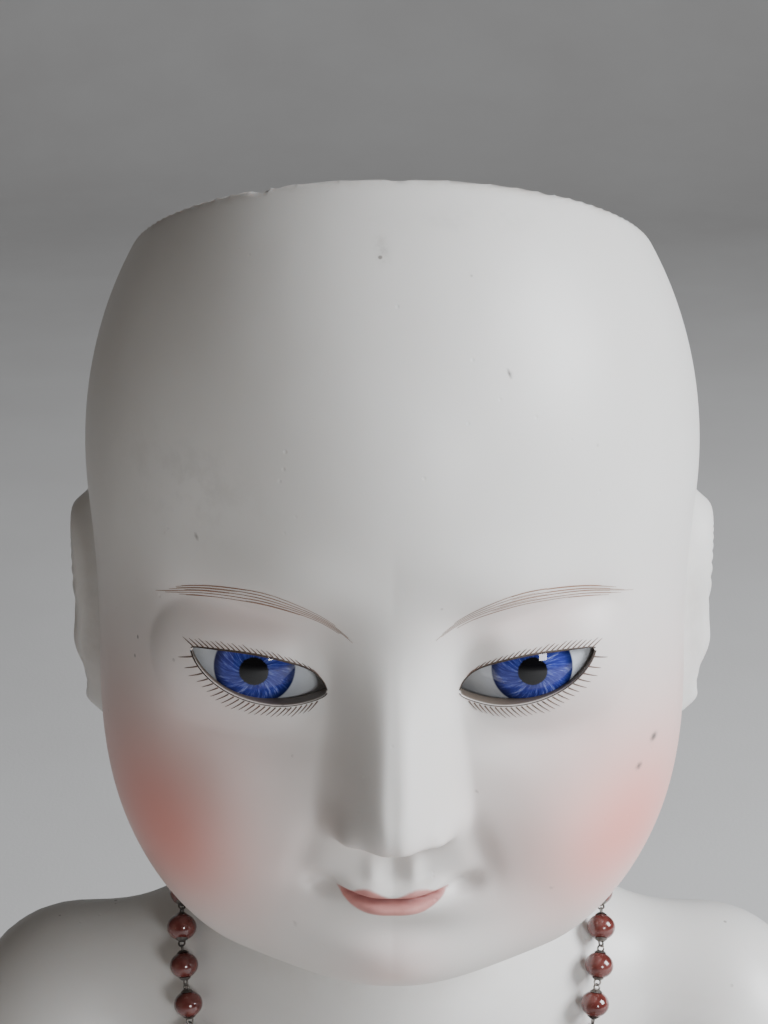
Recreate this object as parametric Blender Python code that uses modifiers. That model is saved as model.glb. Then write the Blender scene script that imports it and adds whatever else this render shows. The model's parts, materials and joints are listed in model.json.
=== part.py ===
"""A porcelain lady doll, seated: bisque swivel head with set glass eyes on a bisque shoulder plate,
a jointed wooden body, and a necklace of small glass beads.

Metres, +Z up. The doll faces -Y and its left side is +X. The origin is on the flat seat under the
pelvis, below the neck axis.
"""

import math

import bmesh
import bpy
import numpy as np
from mathutils import Matrix, Vector

MM = 0.001
GAP = 0.4 * MM  # air between pieces that touch

# Head: its own frame has z = 0 on the eye line and the neck axis behind its middle.
HEAD_ORIGIN = Vector((0.0, -6.0, 262.0)) * MM
HEAD_CENTRE = Vector((0.0, 2.0, -4.0)) * MM
HEAD_WALL = 3.2 * MM
CROWN_HEIGHT = 41.0 * MM  # of the cut above the eye line, over the middle of the head
CROWN_SLOPE = math.atan(0.5)  # the cut falls towards the back
EYE_CENTRE = Vector((14.8, -24.6, 0.0)) * MM
EYE_RADII = Vector((11.0, 9.6, 9.2)) * MM
EYE_WALL = 1.2 * MM
LID_WALL = 1.1 * MM
EYE_MIDDLE = 14.5 * MM  # of the opening, from the middle of the face
EYE_HALF_WIDTH = 7.4 * MM
EAR_CENTRE = Vector((36.2, 3.5, -8.0)) * MM
EAR_RADII = Vector((3.6, 7.2, 14.8)) * MM

# Neck: a ball in a cup, drawn down by a sprung bolt.
PIVOT = Vector((0.0, 0.0, 213.0)) * MM
NECK_RADIUS = 16.3 * MM
NECK_WELL = 11.5 * MM
NECK_FLOOR = -8.5 * MM  # inside the neck, from the pivot
LINER_THICKNESS = 0.8 * MM
CUP_WALL = 3.0 * MM
NECK_BORE = 4.5 * MM
BUTTON_TOP = -3.0 * MM
BOLT_RADIUS = 1.5 * MM
BOLT_BOTTOM = -50.0 * MM
SPRING_RADIUS = 5.0 * MM
SPRING_WIRE = 0.7 * MM
SPRING_TURNS = 4.5

# Torso
TORSO_CENTRE = Vector((0.0, 0.0, 160.0)) * MM
PLATE_WALL = 3.0 * MM
PLATE_EDGE_Z = 137.0 * MM
WAIST_Z = 88.0 * MM
WAIST_BALL = 14.0 * MM
WELL_RADIUS = 13.0 * MM
WELL_FLOOR = 152.0 * MM
PELVIS_CENTRE = Vector((0.0, 0.0, 50.0)) * MM

# Arms
SHOULDER = Vector((57.0, 3.0, 173.0)) * MM
ARCH_RADIUS = 14.6 * MM  # of the plate's opening over the arm
SHOULDER_BALL = 12.0 * MM
ARM_SPREAD = math.radians(7.0)
UPPER_ARM = 62.0 * MM
ELBOW_FLEX = math.radians(28.0)
ELBOW_RADIUS = 8.6 * MM
FOREARM = 52.0 * MM
WRIST_RADIUS = 5.4 * MM
ARM_PIN = 1.2 * MM

# Legs
HIP = Vector((19.5, 0.0, 20.0)) * MM
HIP_BALL = 15.5 * MM
HIP_LIFT = math.radians(14.0)  # room above the seated thigh
THIGH = 110.0 * MM
THIGH_RAISE = math.radians(8.0)
KNEE_RADIUS = 10.4 * MM
SHIN = 104.0 * MM
HEEL_BACK = 15.2 * MM
ANKLE_RADIUS = 7.0 * MM
ANKLE_DROOP = math.radians(12.0)
LEG_PIN = 1.5 * MM
HIP_WEB = 3.4 * MM  # half thickness of the pelvis between the thigh balls

# Necklace
BEAD_RADIUS = 1.9 * MM
CLASP_LENGTH = 9.0 * MM

# Soft forms are smooth unions of ellipsoids: centre, radii and blend in mm, and +1 to add or -1 to
# take away. Each stands for itself and its mirror image across x = 0.
HEAD_FORM = (
    ((0, 4, 14), (37.5, 43, 44), 0, 1),  # cranium
    ((0, -4.4, -17.5), (35.4, 31.0, 31.8), 12, 1),  # lower face
    ((13.2, -14.1, -20), (14.5, 17.4, 21.7), 12, 1),  # cheeks
    ((0, -25.9, -33.1), (11.6, 9.0, 8.6), 9, 1),  # chin
    ((0, 0, -144.2), (200, 200, 100), 6, -1),  # the flattened underside, over the shoulder plate
)
TRUNK_FORM = (
    ((0, 1, 150), (42, 25, 46), 0, 1),  # ribs
    ((0, 4, 188), (54, 17, 24), 13, 1),  # shoulders
    ((46, 3.5, 184), (15, 17, 20), 7, 1),  # shoulder ends
    ((18, -14, 143), (16, 15, 16), 12, 1),  # bust
    ((0, 1, 95), (27, 20, 36), 20, 1),  # waist
)
NECK_ROOT = ((0, 0, 206), (22, 21, 22), 14, 1)
PELVIS_FORM = (
    ((0, 3, 29), (42, 31, 39), 0, 1),  # hips
    ((0, 1, 95), (27, 20, 36), 16, 1),  # waist
)


def clear_scene():
    for obj in list(bpy.data.objects):
        bpy.data.objects.remove(obj)


def make_collection(name, hidden=False):
    made = bpy.data.collections.new(name)
    bpy.context.scene.collection.children.link(made)
    made.hide_render = hidden
    return made


clear_scene()
DOLL = make_collection("porcelain_doll")
CUTTERS = make_collection("cutters", hidden=True)


def make_material(name, colour, roughness, metallic=0.0):
    material = bpy.data.materials.new(name)
    material.use_nodes = True
    shader = material.node_tree.nodes["Principled BSDF"]
    shader.inputs["Base Color"].default_value = (*colour, 1.0)
    shader.inputs["Roughness"].default_value = roughness
    shader.inputs["Metallic"].default_value = metallic
    return material


BISQUE = make_material("bisque", (0.82, 0.79, 0.75), 0.55)
GLASS = make_material("eye_glass", (0.06, 0.09, 0.45), 0.08)
PLASTER = make_material("plaster", (0.80, 0.78, 0.72), 0.9)
WOOD = make_material("wood", (0.62, 0.44, 0.27), 0.5)
KID = make_material("kid_leather", (0.74, 0.62, 0.48), 0.7)
IRON = make_material("iron", (0.30, 0.28, 0.26), 0.45, 1.0)
BRASS = make_material("brass", (0.62, 0.45, 0.20), 0.35, 1.0)
BEADS = make_material("bead_glass", (0.22, 0.03, 0.03), 0.2)


# ---------------------------------------------------------------- forms


def ellipsoid_distance(points, centre, radii):
    """Near-distance from each point to an ellipsoid, negative inside."""
    q = points - centre
    k0 = np.sqrt(((q / radii) ** 2).sum(-1))
    k1 = np.sqrt(((q / radii**2) ** 2).sum(-1))
    return k0 * (k0 - 1) / np.maximum(k1, 1e-9)


def blend_union(a, b, blend):
    rise = np.maximum(blend - np.abs(a - b), 0) / blend
    return np.minimum(a, b) - rise * rise * blend / 4


def form_distance(form, points):
    folded = points * (-1, 1, 1)
    folded = np.where(points[:, :1] < 0, folded, points)
    total = None
    for centre, radii, blend, sign in form:
        piece = ellipsoid_distance(folded, np.array(centre) * MM, np.array(radii) * MM)
        if total is None:
            total = piece
        elif sign > 0:
            total = blend_union(total, piece, blend * MM)
        else:
            total = -blend_union(-total, piece, blend * MM)
    return total


def column_distance(points, radius, bottom):
    """Distance to a round column up the neck axis whose lower end is a ball about `bottom`."""
    q = points - np.array(bottom)
    q[:, 2] -= np.clip(q[:, 2], 0, 30 * MM)
    return np.sqrt((q**2).sum(-1)) - radius


def skull_distance(points):
    return form_distance(HEAD_FORM, points)


def head_distance(points):
    neck_bottom = PIVOT - HEAD_ORIGIN
    neck = column_distance(points, NECK_RADIUS, neck_bottom)
    return blend_union(skull_distance(points), neck, 3 * MM)


def surface_radius(distance, centre, directions, reach):
    """How far out from `centre` each unit direction meets the surface where `distance` is 0."""
    low, high = np.zeros(len(directions)), np.full(len(directions), reach)
    for _ in range(26):
        middle = (low + high) / 2
        inside = distance(np.array(centre) + directions * middle[:, None]) < 0
        low, high = np.where(inside, middle, low), np.where(inside, high, middle)
    return (low + high) / 2


def outward(distance, points):
    """The unit direction out of the surface at each point."""
    reach = 0.2 * MM
    slope = np.zeros_like(points)
    for axis in range(3):
        shift = np.eye(3)[axis] * reach
        slope[:, axis] = distance(points + shift) - distance(points - shift)
    return slope / np.linalg.norm(slope, axis=1, keepdims=True)


def bump(value, middle, spread):
    return np.exp(-(((value - middle) / spread) ** 2))


def step(value, start, end):
    t = np.clip((value - start) / (end - start), 0, 1)
    return t * t * (3 - 2 * t)


def features(points):
    """How far each point of the face stands forward of the plain head form."""
    x, z = np.abs(points[:, 0]) / MM, points[:, 2] / MM
    bridge = 1.4 * step(z, 13, 3) + 7.0 * step(z, 4, -13)
    ridge = 0.5 + 1.3 * step(z, 4, -14)
    nose = bridge * (1 - step(z, -15.6, -19.6)) * (1 - step(x, ridge, 4.4 + 3.4 * step(z, 3, -15)))
    nose += 2.5 * bump(x, 5.5, 1.9) * bump(z, -16.0, 2.5)
    sockets = -2.4 * bump(x, 8.0, 3.0) * bump(z, 1.0, 5.5)
    lips = 1.1 * bump(x, 0, 7.0) * bump(z, -25.5, 5.0)
    lips += 1.3 * bump(x, 0, 4.8) * (bump(z, -25.0, 1.2) + bump(z, -27.6, 1.2))
    under_lip = -1.5 * bump(x, 0, 6.5) * bump(z, -30.6, 2.1)
    chin = 1.3 * bump(x, 0, 7.0) * bump(z, -36.5, 4.6)
    cheeks = 1.2 * bump(x, 20, 8) * bump(z, -17, 8)
    return (nose + sockets + lips + under_lip + chin + cheeks) * MM


def lid_front(points, half_radii):
    """The y of an ellipsoid's front about the eye, or a point well back where there is none."""
    dx = (np.abs(points[:, 0]) - EYE_CENTRE.x) / half_radii.x
    dz = (points[:, 2] - EYE_CENTRE.z) / half_radii.z
    rest = 1 - dx**2 - dz**2
    return np.where(rest > 0, EYE_CENTRE.y - half_radii.y * np.sqrt(np.abs(rest)), 0.1)


# ---------------------------------------------------------------- making objects


def link(obj, material, collection=None):
    (collection or DOLL).objects.link(obj)
    if material:
        obj.data.materials.append(material)
    return obj


def object_from(bm, name, material, collection=None):
    bmesh.ops.recalc_face_normals(bm, faces=bm.faces)
    mesh = bpy.data.meshes.new(name)
    bm.to_mesh(mesh)
    bm.free()
    mesh.shade_smooth()
    mesh.set_sharp_from_angle(angle=math.radians(35))
    return link(bpy.data.objects.new(name, mesh), material, collection)


def cutter(bm, name):
    made = object_from(bm, name, None, CUTTERS)
    made.hide_render = True
    made.display_type = "WIRE"
    return made


def boolean(obj, tool, operation="DIFFERENCE"):
    modifier = obj.modifiers.new(tool.name, "BOOLEAN")
    modifier.operation = operation
    modifier.solver = "EXACT"
    modifier.object = tool
    return obj


def ball(radii, centre=(0, 0, 0), segments=24, rings=14):
    bm = bmesh.new()
    bmesh.ops.create_uvsphere(bm, u_segments=segments, v_segments=rings, radius=1.0)
    size = Vector((radii,) * 3) if isinstance(radii, float) else Vector(radii)
    bmesh.ops.scale(bm, vec=size, verts=bm.verts)
    bmesh.ops.translate(bm, vec=Vector(centre), verts=bm.verts)
    return bm


def box(low, high):
    low, high = Vector(low), Vector(high)
    bm = bmesh.new()
    bmesh.ops.create_cube(bm, size=1.0)
    bmesh.ops.scale(bm, vec=high - low, verts=bm.verts)
    bmesh.ops.translate(bm, vec=(low + high) / 2, verts=bm.verts)
    return bm


def rod(radius, start, end, segments=16, end_radius=None):
    """A closed cylinder or cone between two points."""
    start, end = Vector(start), Vector(end)
    bm = bmesh.new()
    bmesh.ops.create_cone(
        bm,
        cap_ends=True,
        segments=segments,
        radius1=radius,
        radius2=radius if end_radius is None else end_radius,
        depth=(end - start).length,
    )
    turn = Vector((0, 0, 1)).rotation_difference(end - start).to_matrix().to_4x4()
    bmesh.ops.transform(bm, matrix=turn, verts=bm.verts)
    bmesh.ops.translate(bm, vec=(start + end) / 2, verts=bm.verts)
    return bm


def turned(name, profile, material, steps=12):
    """A turned piece about Z. The profile is (radius, z) pairs from the top down."""
    mesh = bpy.data.meshes.new(name)
    points = [(radius, 0.0, z) for radius, z in profile]
    mesh.from_pydata(points, [(i, i + 1) for i in range(len(points) - 1)], [])
    obj = link(bpy.data.objects.new(name, mesh), material)
    screw = obj.modifiers.new("turn", "SCREW")
    screw.steps = steps
    screw.render_steps = steps
    screw.use_merge_vertices = True
    screw.merge_threshold = 0.01 * MM
    screw.use_smooth_shade = True
    return obj


def gathered(direction):
    """The direction drawn towards the face, so that the mesh is finest there."""
    around = math.atan2(direction.x, -direction.y)
    around -= 0.42 * math.sin(around)
    down = math.acos(max(-1.0, min(1.0, direction.z)))
    down += 0.16 * math.sin(2 * (down - 0.35))
    level = math.sin(down)
    return Vector((level * math.sin(around), -level * math.cos(around), math.cos(down)))


def skin(distance, centre, inset=0.0, segments=44, rings=30, reach=0.12, draw=None):
    """A sphere whose points are moved out to the surface of a form, less `inset`."""
    bm = bmesh.new()
    bmesh.ops.create_uvsphere(bm, u_segments=segments, v_segments=rings, radius=1.0)
    ways = [draw(v.co.normalized()) if draw else v.co.normalized() for v in bm.verts]
    directions = np.array([tuple(way) for way in ways])
    radius = surface_radius(distance, centre, directions, reach) - inset
    for vert, spot in zip(bm.verts, np.array(centre) + directions * radius[:, None]):
        vert.co = spot
    bmesh.ops.triangulate(bm, faces=bm.faces, quad_method="FIXED")
    return bm


def mirrored(vector, side):
    return Vector((vector.x * side, vector.y, vector.z))


# ---------------------------------------------------------------- head


def head_points(bm):
    return np.array([tuple(v.co) for v in bm.verts])


def face_weight(points):
    """1 on the front of the face, falling to 0 at the sides."""
    return step(-points[:, 1], 12 * MM, 24 * MM)


def lid_height(along, upper):
    """Height of a lid's edge; `along` runs from -1 at the inner corner to 1 at the outer one."""
    line = 0.35 + 2.05 * along
    rest = abs(1 - along * along)
    if upper:
        return (line + rest**0.6 * (2.35 - 1.2 * along)) * MM
    return (line - rest**0.64 * (3.3 + 0.75 * along)) * MM


def almond(side):
    """The cutter of one eye opening, its outer corner higher, run forward through the wall."""
    bm = bmesh.new()
    count = 14
    rim = []
    for upper in (True, False):
        for i in range(count):
            along = -math.cos(math.pi * i / count) * (1 if upper else -1)
            x = (EYE_MIDDLE + along * EYE_HALF_WIDTH) * side
            rim.append(Vector((x, EYE_CENTRE.y - 16 * MM, lid_height(along, upper))))
    ring = [bm.verts.new(p) for p in (rim if side > 0 else reversed(rim))]
    face = bm.faces.new(ring)
    grown = bmesh.ops.extrude_face_region(bm, geom=[face])["geom"]
    verts = [g for g in grown if isinstance(g, bmesh.types.BMVert)]
    bmesh.ops.translate(bm, vec=Vector((0, 14 * MM, 0)), verts=verts)
    return bm


def place(bm, origin):
    bmesh.ops.translate(bm, vec=origin, verts=bm.verts)
    return bm


def grow(radii, by):
    return radii + Vector((by, by, by))


def make_head():
    outer = skin(head_distance, HEAD_CENTRE, segments=52, rings=38, reach=0.09, draw=gathered)
    points = head_points(outer)
    weight = face_weight(points)
    points[:, 1] -= features(points) * weight
    lids = lid_front(points, grow(EYE_RADII, GAP + LID_WALL))
    near = (lids < points[:, 1]) & (points[:, 1] < 0)
    points[:, 1] = np.where(near, lids, points[:, 1])
    for vert, spot in zip(outer.verts, points):
        vert.co = spot
    head = object_from(place(outer, HEAD_ORIGIN), "head", BISQUE)

    inner = skin(skull_distance, HEAD_CENTRE, HEAD_WALL, segments=22, rings=14, reach=0.09)
    cavity = cutter(place(inner, HEAD_ORIGIN), "head_cavity")

    crown = box((-80 * MM, -90 * MM, 0), (80 * MM, 90 * MM, 60 * MM))
    tilt = Matrix.Rotation(-CROWN_SLOPE, 4, "X")
    bmesh.ops.transform(crown, matrix=tilt, verts=crown.verts)
    place(crown, HEAD_ORIGIN + Vector((0, 0, CROWN_HEIGHT)))

    for side, word in ((1, "left"), (-1, "right")):
        ear = ball(EAR_RADII, HEAD_ORIGIN + mirrored(EAR_CENTRE, side), 18, 12)
        boolean(head, cutter(ear, f"ear_{word}"), "UNION")
    boolean(head, cavity)
    column = rod(NECK_WELL, PIVOT + Vector((0, 0, NECK_FLOOR)), PIVOT + Vector((0, 0, 26 * MM)), 20)
    boolean(head, cutter(column, "neck_well"))
    boolean(head, cutter(crown, "crown_cut"))
    for side, word in ((1, "left"), (-1, "right")):
        seat = ball(grow(EYE_RADII, GAP), mirrored(EYE_CENTRE, side), 20, 12)
        boolean(head, cutter(place(seat, HEAD_ORIGIN), f"eye_seat_{word}"))
        boolean(head, cutter(place(almond(side), HEAD_ORIGIN), f"eye_cut_{word}"))
    bore = rod(NECK_BORE, PIVOT - Vector((0, 0, 30 * MM)), PIVOT)
    boolean(head, cutter(bore, "head_bore"))
    return head


def make_eye(side, word):
    """A blown eye: an oval glass bowl, open behind, and the plaster that holds it in the head."""
    centre = HEAD_ORIGIN + mirrored(EYE_CENTRE, side)
    eye = object_from(ball(EYE_RADII, centre, 20, 12), f"eye_{word}", GLASS)
    boolean(eye, cutter(ball(grow(EYE_RADII, -EYE_WALL), centre, 14, 8), f"eye_hollow_{word}"))
    reach = Vector((20, 20, 20)) * MM
    back = box(centre + Vector((-reach.x, 1.5 * MM, -reach.z)), centre + reach)
    boolean(eye, cutter(back, f"eye_back_{word}"))

    radii = Vector((13.0, 7.5, 11.5)) * MM
    middle = centre + Vector((0, 3.0 * MM, 0))
    plaster = object_from(ball(radii, middle, 14, 8), f"eye_plaster_{word}", PLASTER)
    boolean(plaster, cutter(ball(grow(EYE_RADII, GAP), centre, 20, 12), f"plaster_cup_{word}"))
    low = centre - reach
    high = centre + Vector((reach.x, -2.5 * MM, reach.z))
    front = box(low, high)
    boolean(plaster, cutter(front, f"plaster_front_{word}"))
    outlet = rod(4.0 * MM, centre, centre + Vector((0, 16 * MM, 0)), 12)
    boolean(plaster, cutter(outlet, f"plaster_outlet_{word}"))
    return eye


def trim_plaster():
    """The plaster stops short of the head's inner wall."""
    inner = skin(skull_distance, HEAD_CENTRE, HEAD_WALL + 2 * GAP, segments=22, rings=14, reach=0.09)
    room = cutter(place(inner, HEAD_ORIGIN), "plaster_room")
    for word in ("left", "right"):
        boolean(bpy.data.objects[f"eye_plaster_{word}"], room, "INTERSECT")


# ---------------------------------------------------------------- neck


def bowl(name, inner, outer, top, material, bore):
    """A round bowl about the neck pivot, open above `top` and bored through its bottom."""
    made = object_from(ball(outer, PIVOT, 20, 12), name, material)
    boolean(made, cutter(ball(inner, PIVOT, 20, 12), name + "_hollow"))
    far = 60 * MM
    above = box(PIVOT + Vector((-far, -far, top)), PIVOT + Vector((far, far, far)))
    boolean(made, cutter(above, name + "_top"))
    boolean(made, cutter(rod(bore, PIVOT - Vector((0, 0, far)), PIVOT), name + "_bore"))
    return made


def washer(name, radius, low, high, bore, material, segments=20):
    disc = rod(radius, PIVOT + Vector((0, 0, low)), PIVOT + Vector((0, 0, high)), segments)
    made = object_from(disc, name, material)
    hole = rod(bore, PIVOT + Vector((0, 0, low - 5 * MM)), PIVOT + Vector((0, 0, high + 5 * MM)))
    return boolean(made, cutter(hole, name + "_hole"))


def make_neck():
    low, high = PIVOT.z + NECK_FLOOR + GAP, PIVOT.z + BUTTON_TOP
    radius = NECK_WELL - GAP
    profile = (
        (BOLT_RADIUS + GAP, high),
        (radius - 2 * MM, high),
        (radius, high - 1.5 * MM),
        (radius, low),
        (BOLT_RADIUS + GAP, low),
        (BOLT_RADIUS + GAP, high),
    )
    turned("neck_button", profile, WOOD, 20)

    liner = NECK_RADIUS + GAP
    bowl("neck_liner", liner, liner + LINER_THICKNESS, -1.8 * MM, KID, NECK_BORE)

    cup = liner + LINER_THICKNESS + GAP + CUP_WALL
    spring_top = -cup - GAP
    nut_top = BOLT_BOTTOM + 6.5 * MM
    washer_top = nut_top + GAP + 1.4 * MM
    washer("neck_washer", 7.0 * MM, nut_top + GAP, washer_top, BOLT_RADIUS + GAP, BRASS)
    washer("neck_nut", 4.2 * MM, nut_top - 3.4 * MM, nut_top, BOLT_RADIUS + GAP, IRON, 6)

    bolt_top = BUTTON_TOP + 1.2 * MM
    bolt = rod(BOLT_RADIUS, PIVOT + Vector((0, 0, BOLT_BOTTOM)), PIVOT + Vector((0, 0, bolt_top)), 12)
    bolt = object_from(bolt, "neck_bolt", IRON)
    cap_low = BUTTON_TOP + GAP
    cap = rod(4.6 * MM, PIVOT + Vector((0, 0, cap_low)), PIVOT + Vector((0, 0, cap_low + 2 * MM)))
    boolean(bolt, cutter(cap, "bolt_cap"), "UNION")

    low = washer_top + GAP + SPRING_WIRE
    high = spring_top - SPRING_WIRE
    coil(low, high)


def coil(low, high):
    """The compression spring between the cup and the washer."""
    curve = bpy.data.curves.new("neck_spring", "CURVE")
    curve.dimensions = "3D"
    curve.bevel_depth = SPRING_WIRE
    curve.bevel_resolution = 1
    curve.use_fill_caps = True
    per_turn = 10
    count = int(SPRING_TURNS * per_turn) + 1
    spline = curve.splines.new("POLY")
    spline.points.add(count - 1)
    for i in range(count):
        turn = 2 * math.pi * i / per_turn
        x, y = SPRING_RADIUS * math.cos(turn), SPRING_RADIUS * math.sin(turn)
        z = low + (high - low) * i / (count - 1)
        spline.points[i].co = (*(PIVOT + Vector((x, y, z))), 1.0)
    link(bpy.data.objects.new("neck_spring", curve), IRON)


# ---------------------------------------------------------------- torso


def trunk_distance(points):
    return form_distance(TRUNK_FORM, points)


def torso_distance(points):
    return form_distance((*TRUNK_FORM, NECK_ROOT), points)


def pelvis_distance(points):
    return form_distance(PELVIS_FORM, points)


def slab(outline, start, end):
    """The outline, points on the YZ plane, run from one x to another."""
    bm = bmesh.new()
    ring = [bm.verts.new((start, p.y, p.z)) for p in outline]
    face = bm.faces.new(ring)
    grown = bmesh.ops.extrude_face_region(bm, geom=[face])["geom"]
    verts = [g for g in grown if isinstance(g, bmesh.types.BMVert)]
    bmesh.ops.translate(bm, vec=Vector((end - start, 0, 0)), verts=verts)
    return bm


def armhole(side, radius, inner):
    """An arch over the shoulder joint, from `inner` outwards, open below."""
    outline = [Vector((0, SHOULDER.y + radius, 90 * MM))]
    for i in range(17):
        angle = math.pi * i / 16
        outline.append(SHOULDER + Vector((0, math.cos(angle) * radius, math.sin(angle) * radius)))
    outline.append(Vector((0, SHOULDER.y - radius, 90 * MM)))
    return slab(outline, inner * side, 95 * MM * side)


def make_plate():
    outer = skin(torso_distance, TORSO_CENTRE, segments=34, rings=19)
    plate = object_from(outer, "shoulder_plate", BISQUE)
    for side, word in ((1, "left"), (-1, "right")):
        boolean(plate, cutter(armhole(side, ARCH_RADIUS, 37 * MM), f"plate_armhole_{word}"))
    inner = skin(trunk_distance, TORSO_CENTRE, PLATE_WALL, segments=30, rings=18)
    boolean(plate, cutter(inner, "plate_inside"))
    cup_inner = NECK_RADIUS + 2 * GAP + LINER_THICKNESS
    cup = ball(cup_inner + CUP_WALL, PIVOT, 20, 12)
    boolean(plate, cutter(cup, "plate_cup"), "UNION")
    boolean(plate, cutter(ball(cup_inner, PIVOT, 20, 12), "plate_cup_hollow"))
    far = 120 * MM
    above = rod(30 * MM, PIVOT + Vector((0, 0, 0.6 * MM)), PIVOT + Vector((0, 0, far)), 32)
    boolean(plate, cutter(above, "plate_top"))
    below = box((-far, -far, -far), (far, far, PLATE_EDGE_Z))
    boolean(plate, cutter(below, "plate_bottom"))
    bore = rod(NECK_BORE, PIVOT - Vector((0, 0, 40 * MM)), PIVOT)
    boolean(plate, cutter(bore, "plate_bore"))


def make_chest():
    inset = PLATE_WALL + 4 * GAP
    block = skin(trunk_distance, TORSO_CENTRE, inset, segments=30, rings=18)
    chest = object_from(block, "chest", WOOD)
    far = 120 * MM
    below = box((-far, -far, -far), (far, far, WAIST_Z + GAP))
    boolean(chest, cutter(below, "chest_bottom"))
    top = box((-far, -far, PIVOT.z - 15 * MM), (far, far, PIVOT.z + far))
    boolean(chest, cutter(top, "chest_top"))
    cup = NECK_RADIUS + 2 * GAP + LINER_THICKNESS + CUP_WALL
    boolean(chest, cutter(ball(cup + 1.5 * GAP, PIVOT, 20, 12), "chest_cup"))
    well = rod(WELL_RADIUS, (0, 0, WELL_FLOOR), (0, 0, PIVOT.z + 10 * MM), 20)
    boolean(chest, cutter(well, "chest_well"))
    waist = ball(WAIST_BALL + GAP, (0, 0, WAIST_Z), 20, 12)
    boolean(chest, cutter(waist, "chest_socket"))
    for side, word in ((1, "left"), (-1, "right")):
        inner = SHOULDER.x - SHOULDER_BALL - GAP
        recess = armhole(side, SHOULDER_BALL + 1 * MM, inner)
        boolean(chest, cutter(recess, f"chest_armhole_{word}"))
        peg = shoulder_peg(side, ARM_PIN * 2 + GAP)
        boolean(chest, cutter(peg, f"chest_peg_hole_{word}"))


def shoulder_peg(side, radius):
    """The dowel on which the shoulder ball turns, running in from the ball."""
    inner = mirrored(SHOULDER, side) - Vector((20 * MM * side, 0, 0))
    return rod(radius, inner, mirrored(SHOULDER, side), 12)


def thigh_room(side):
    """Room for the thigh ball and for the thigh, from well raised to straight down."""
    room = HIP_BALL + GAP
    lift = THIGH_RAISE + HIP_LIFT
    way = Vector((0, -math.cos(lift), math.sin(lift)))
    start = math.pi / 2 - lift
    outline = [HIP + way * 90 * MM + Vector((0, math.cos(start) * room, math.sin(start) * room))]
    for i in range(13):
        angle = start + (-start) * i / 12
        outline.append(HIP + Vector((0, math.cos(angle) * room, math.sin(angle) * room)))
    outline.append(Vector((0, HIP.y + room, -12 * MM)))
    outline.append(Vector((0, -95 * MM, -12 * MM)))
    return slab(outline, HIP_WEB * side, 70 * MM * side)


def make_pelvis():
    block = skin(pelvis_distance, PELVIS_CENTRE, 3 * MM, segments=28, rings=16)
    pelvis = object_from(block, "pelvis", WOOD)
    far = 180 * MM
    above = box((-far, -far, WAIST_Z - GAP), (far, far, far))
    boolean(pelvis, cutter(above, "pelvis_top"))
    below = box((-far, -far, -far), (far, far, 0))
    boolean(pelvis, cutter(below, "pelvis_bottom"))
    waist = ball(WAIST_BALL + GAP, (0, 0, WAIST_Z), 20, 12)
    boolean(pelvis, cutter(waist, "pelvis_socket"))
    for side, word in ((1, "left"), (-1, "right")):
        boolean(pelvis, cutter(thigh_room(side), f"thigh_room_{word}"))
    hole = rod(LEG_PIN + GAP, (-30 * MM, HIP.y, HIP.z), (30 * MM, HIP.y, HIP.z), 12)
    boolean(pelvis, cutter(hole, "hip_pin_hole"))

    object_from(ball(WAIST_BALL, (0, 0, WAIST_Z), 20, 12), "waist_ball", WOOD)
    reach = HIP.x + HIP_BALL - 1 * MM
    pin = rod(LEG_PIN, (-reach, HIP.y, HIP.z), (reach, HIP.y, HIP.z), 12)
    object_from(pin, "hip_pin", IRON)


# ---------------------------------------------------------------- limbs, each drawn hanging down


def holder(name, matrix, parent=None):
    """An empty on a joint, which carries the pieces below it."""
    empty = bpy.data.objects.new(name, None)
    DOLL.objects.link(empty)
    empty.parent = parent
    empty.matrix_local = matrix
    return empty


def hang(obj, parent):
    obj.parent = parent
    return obj


def hinge_cutters(obj, parent, name, cuts):
    for index, bm in enumerate(cuts):
        tool = hang(cutter(bm, f"{name}_cut_{index}"), parent)
        boolean(obj, tool)


def pin_hole(radius, z):
    far = 40 * MM
    return rod(radius + GAP, (-far, 0, z), (far, 0, z), 12)


def make_pin(name, radius, half_length, z, parent):
    pin = object_from(rod(radius, (-half_length, 0, z), (half_length, 0, z), 12), name, IRON)
    return hang(pin, parent)


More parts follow.
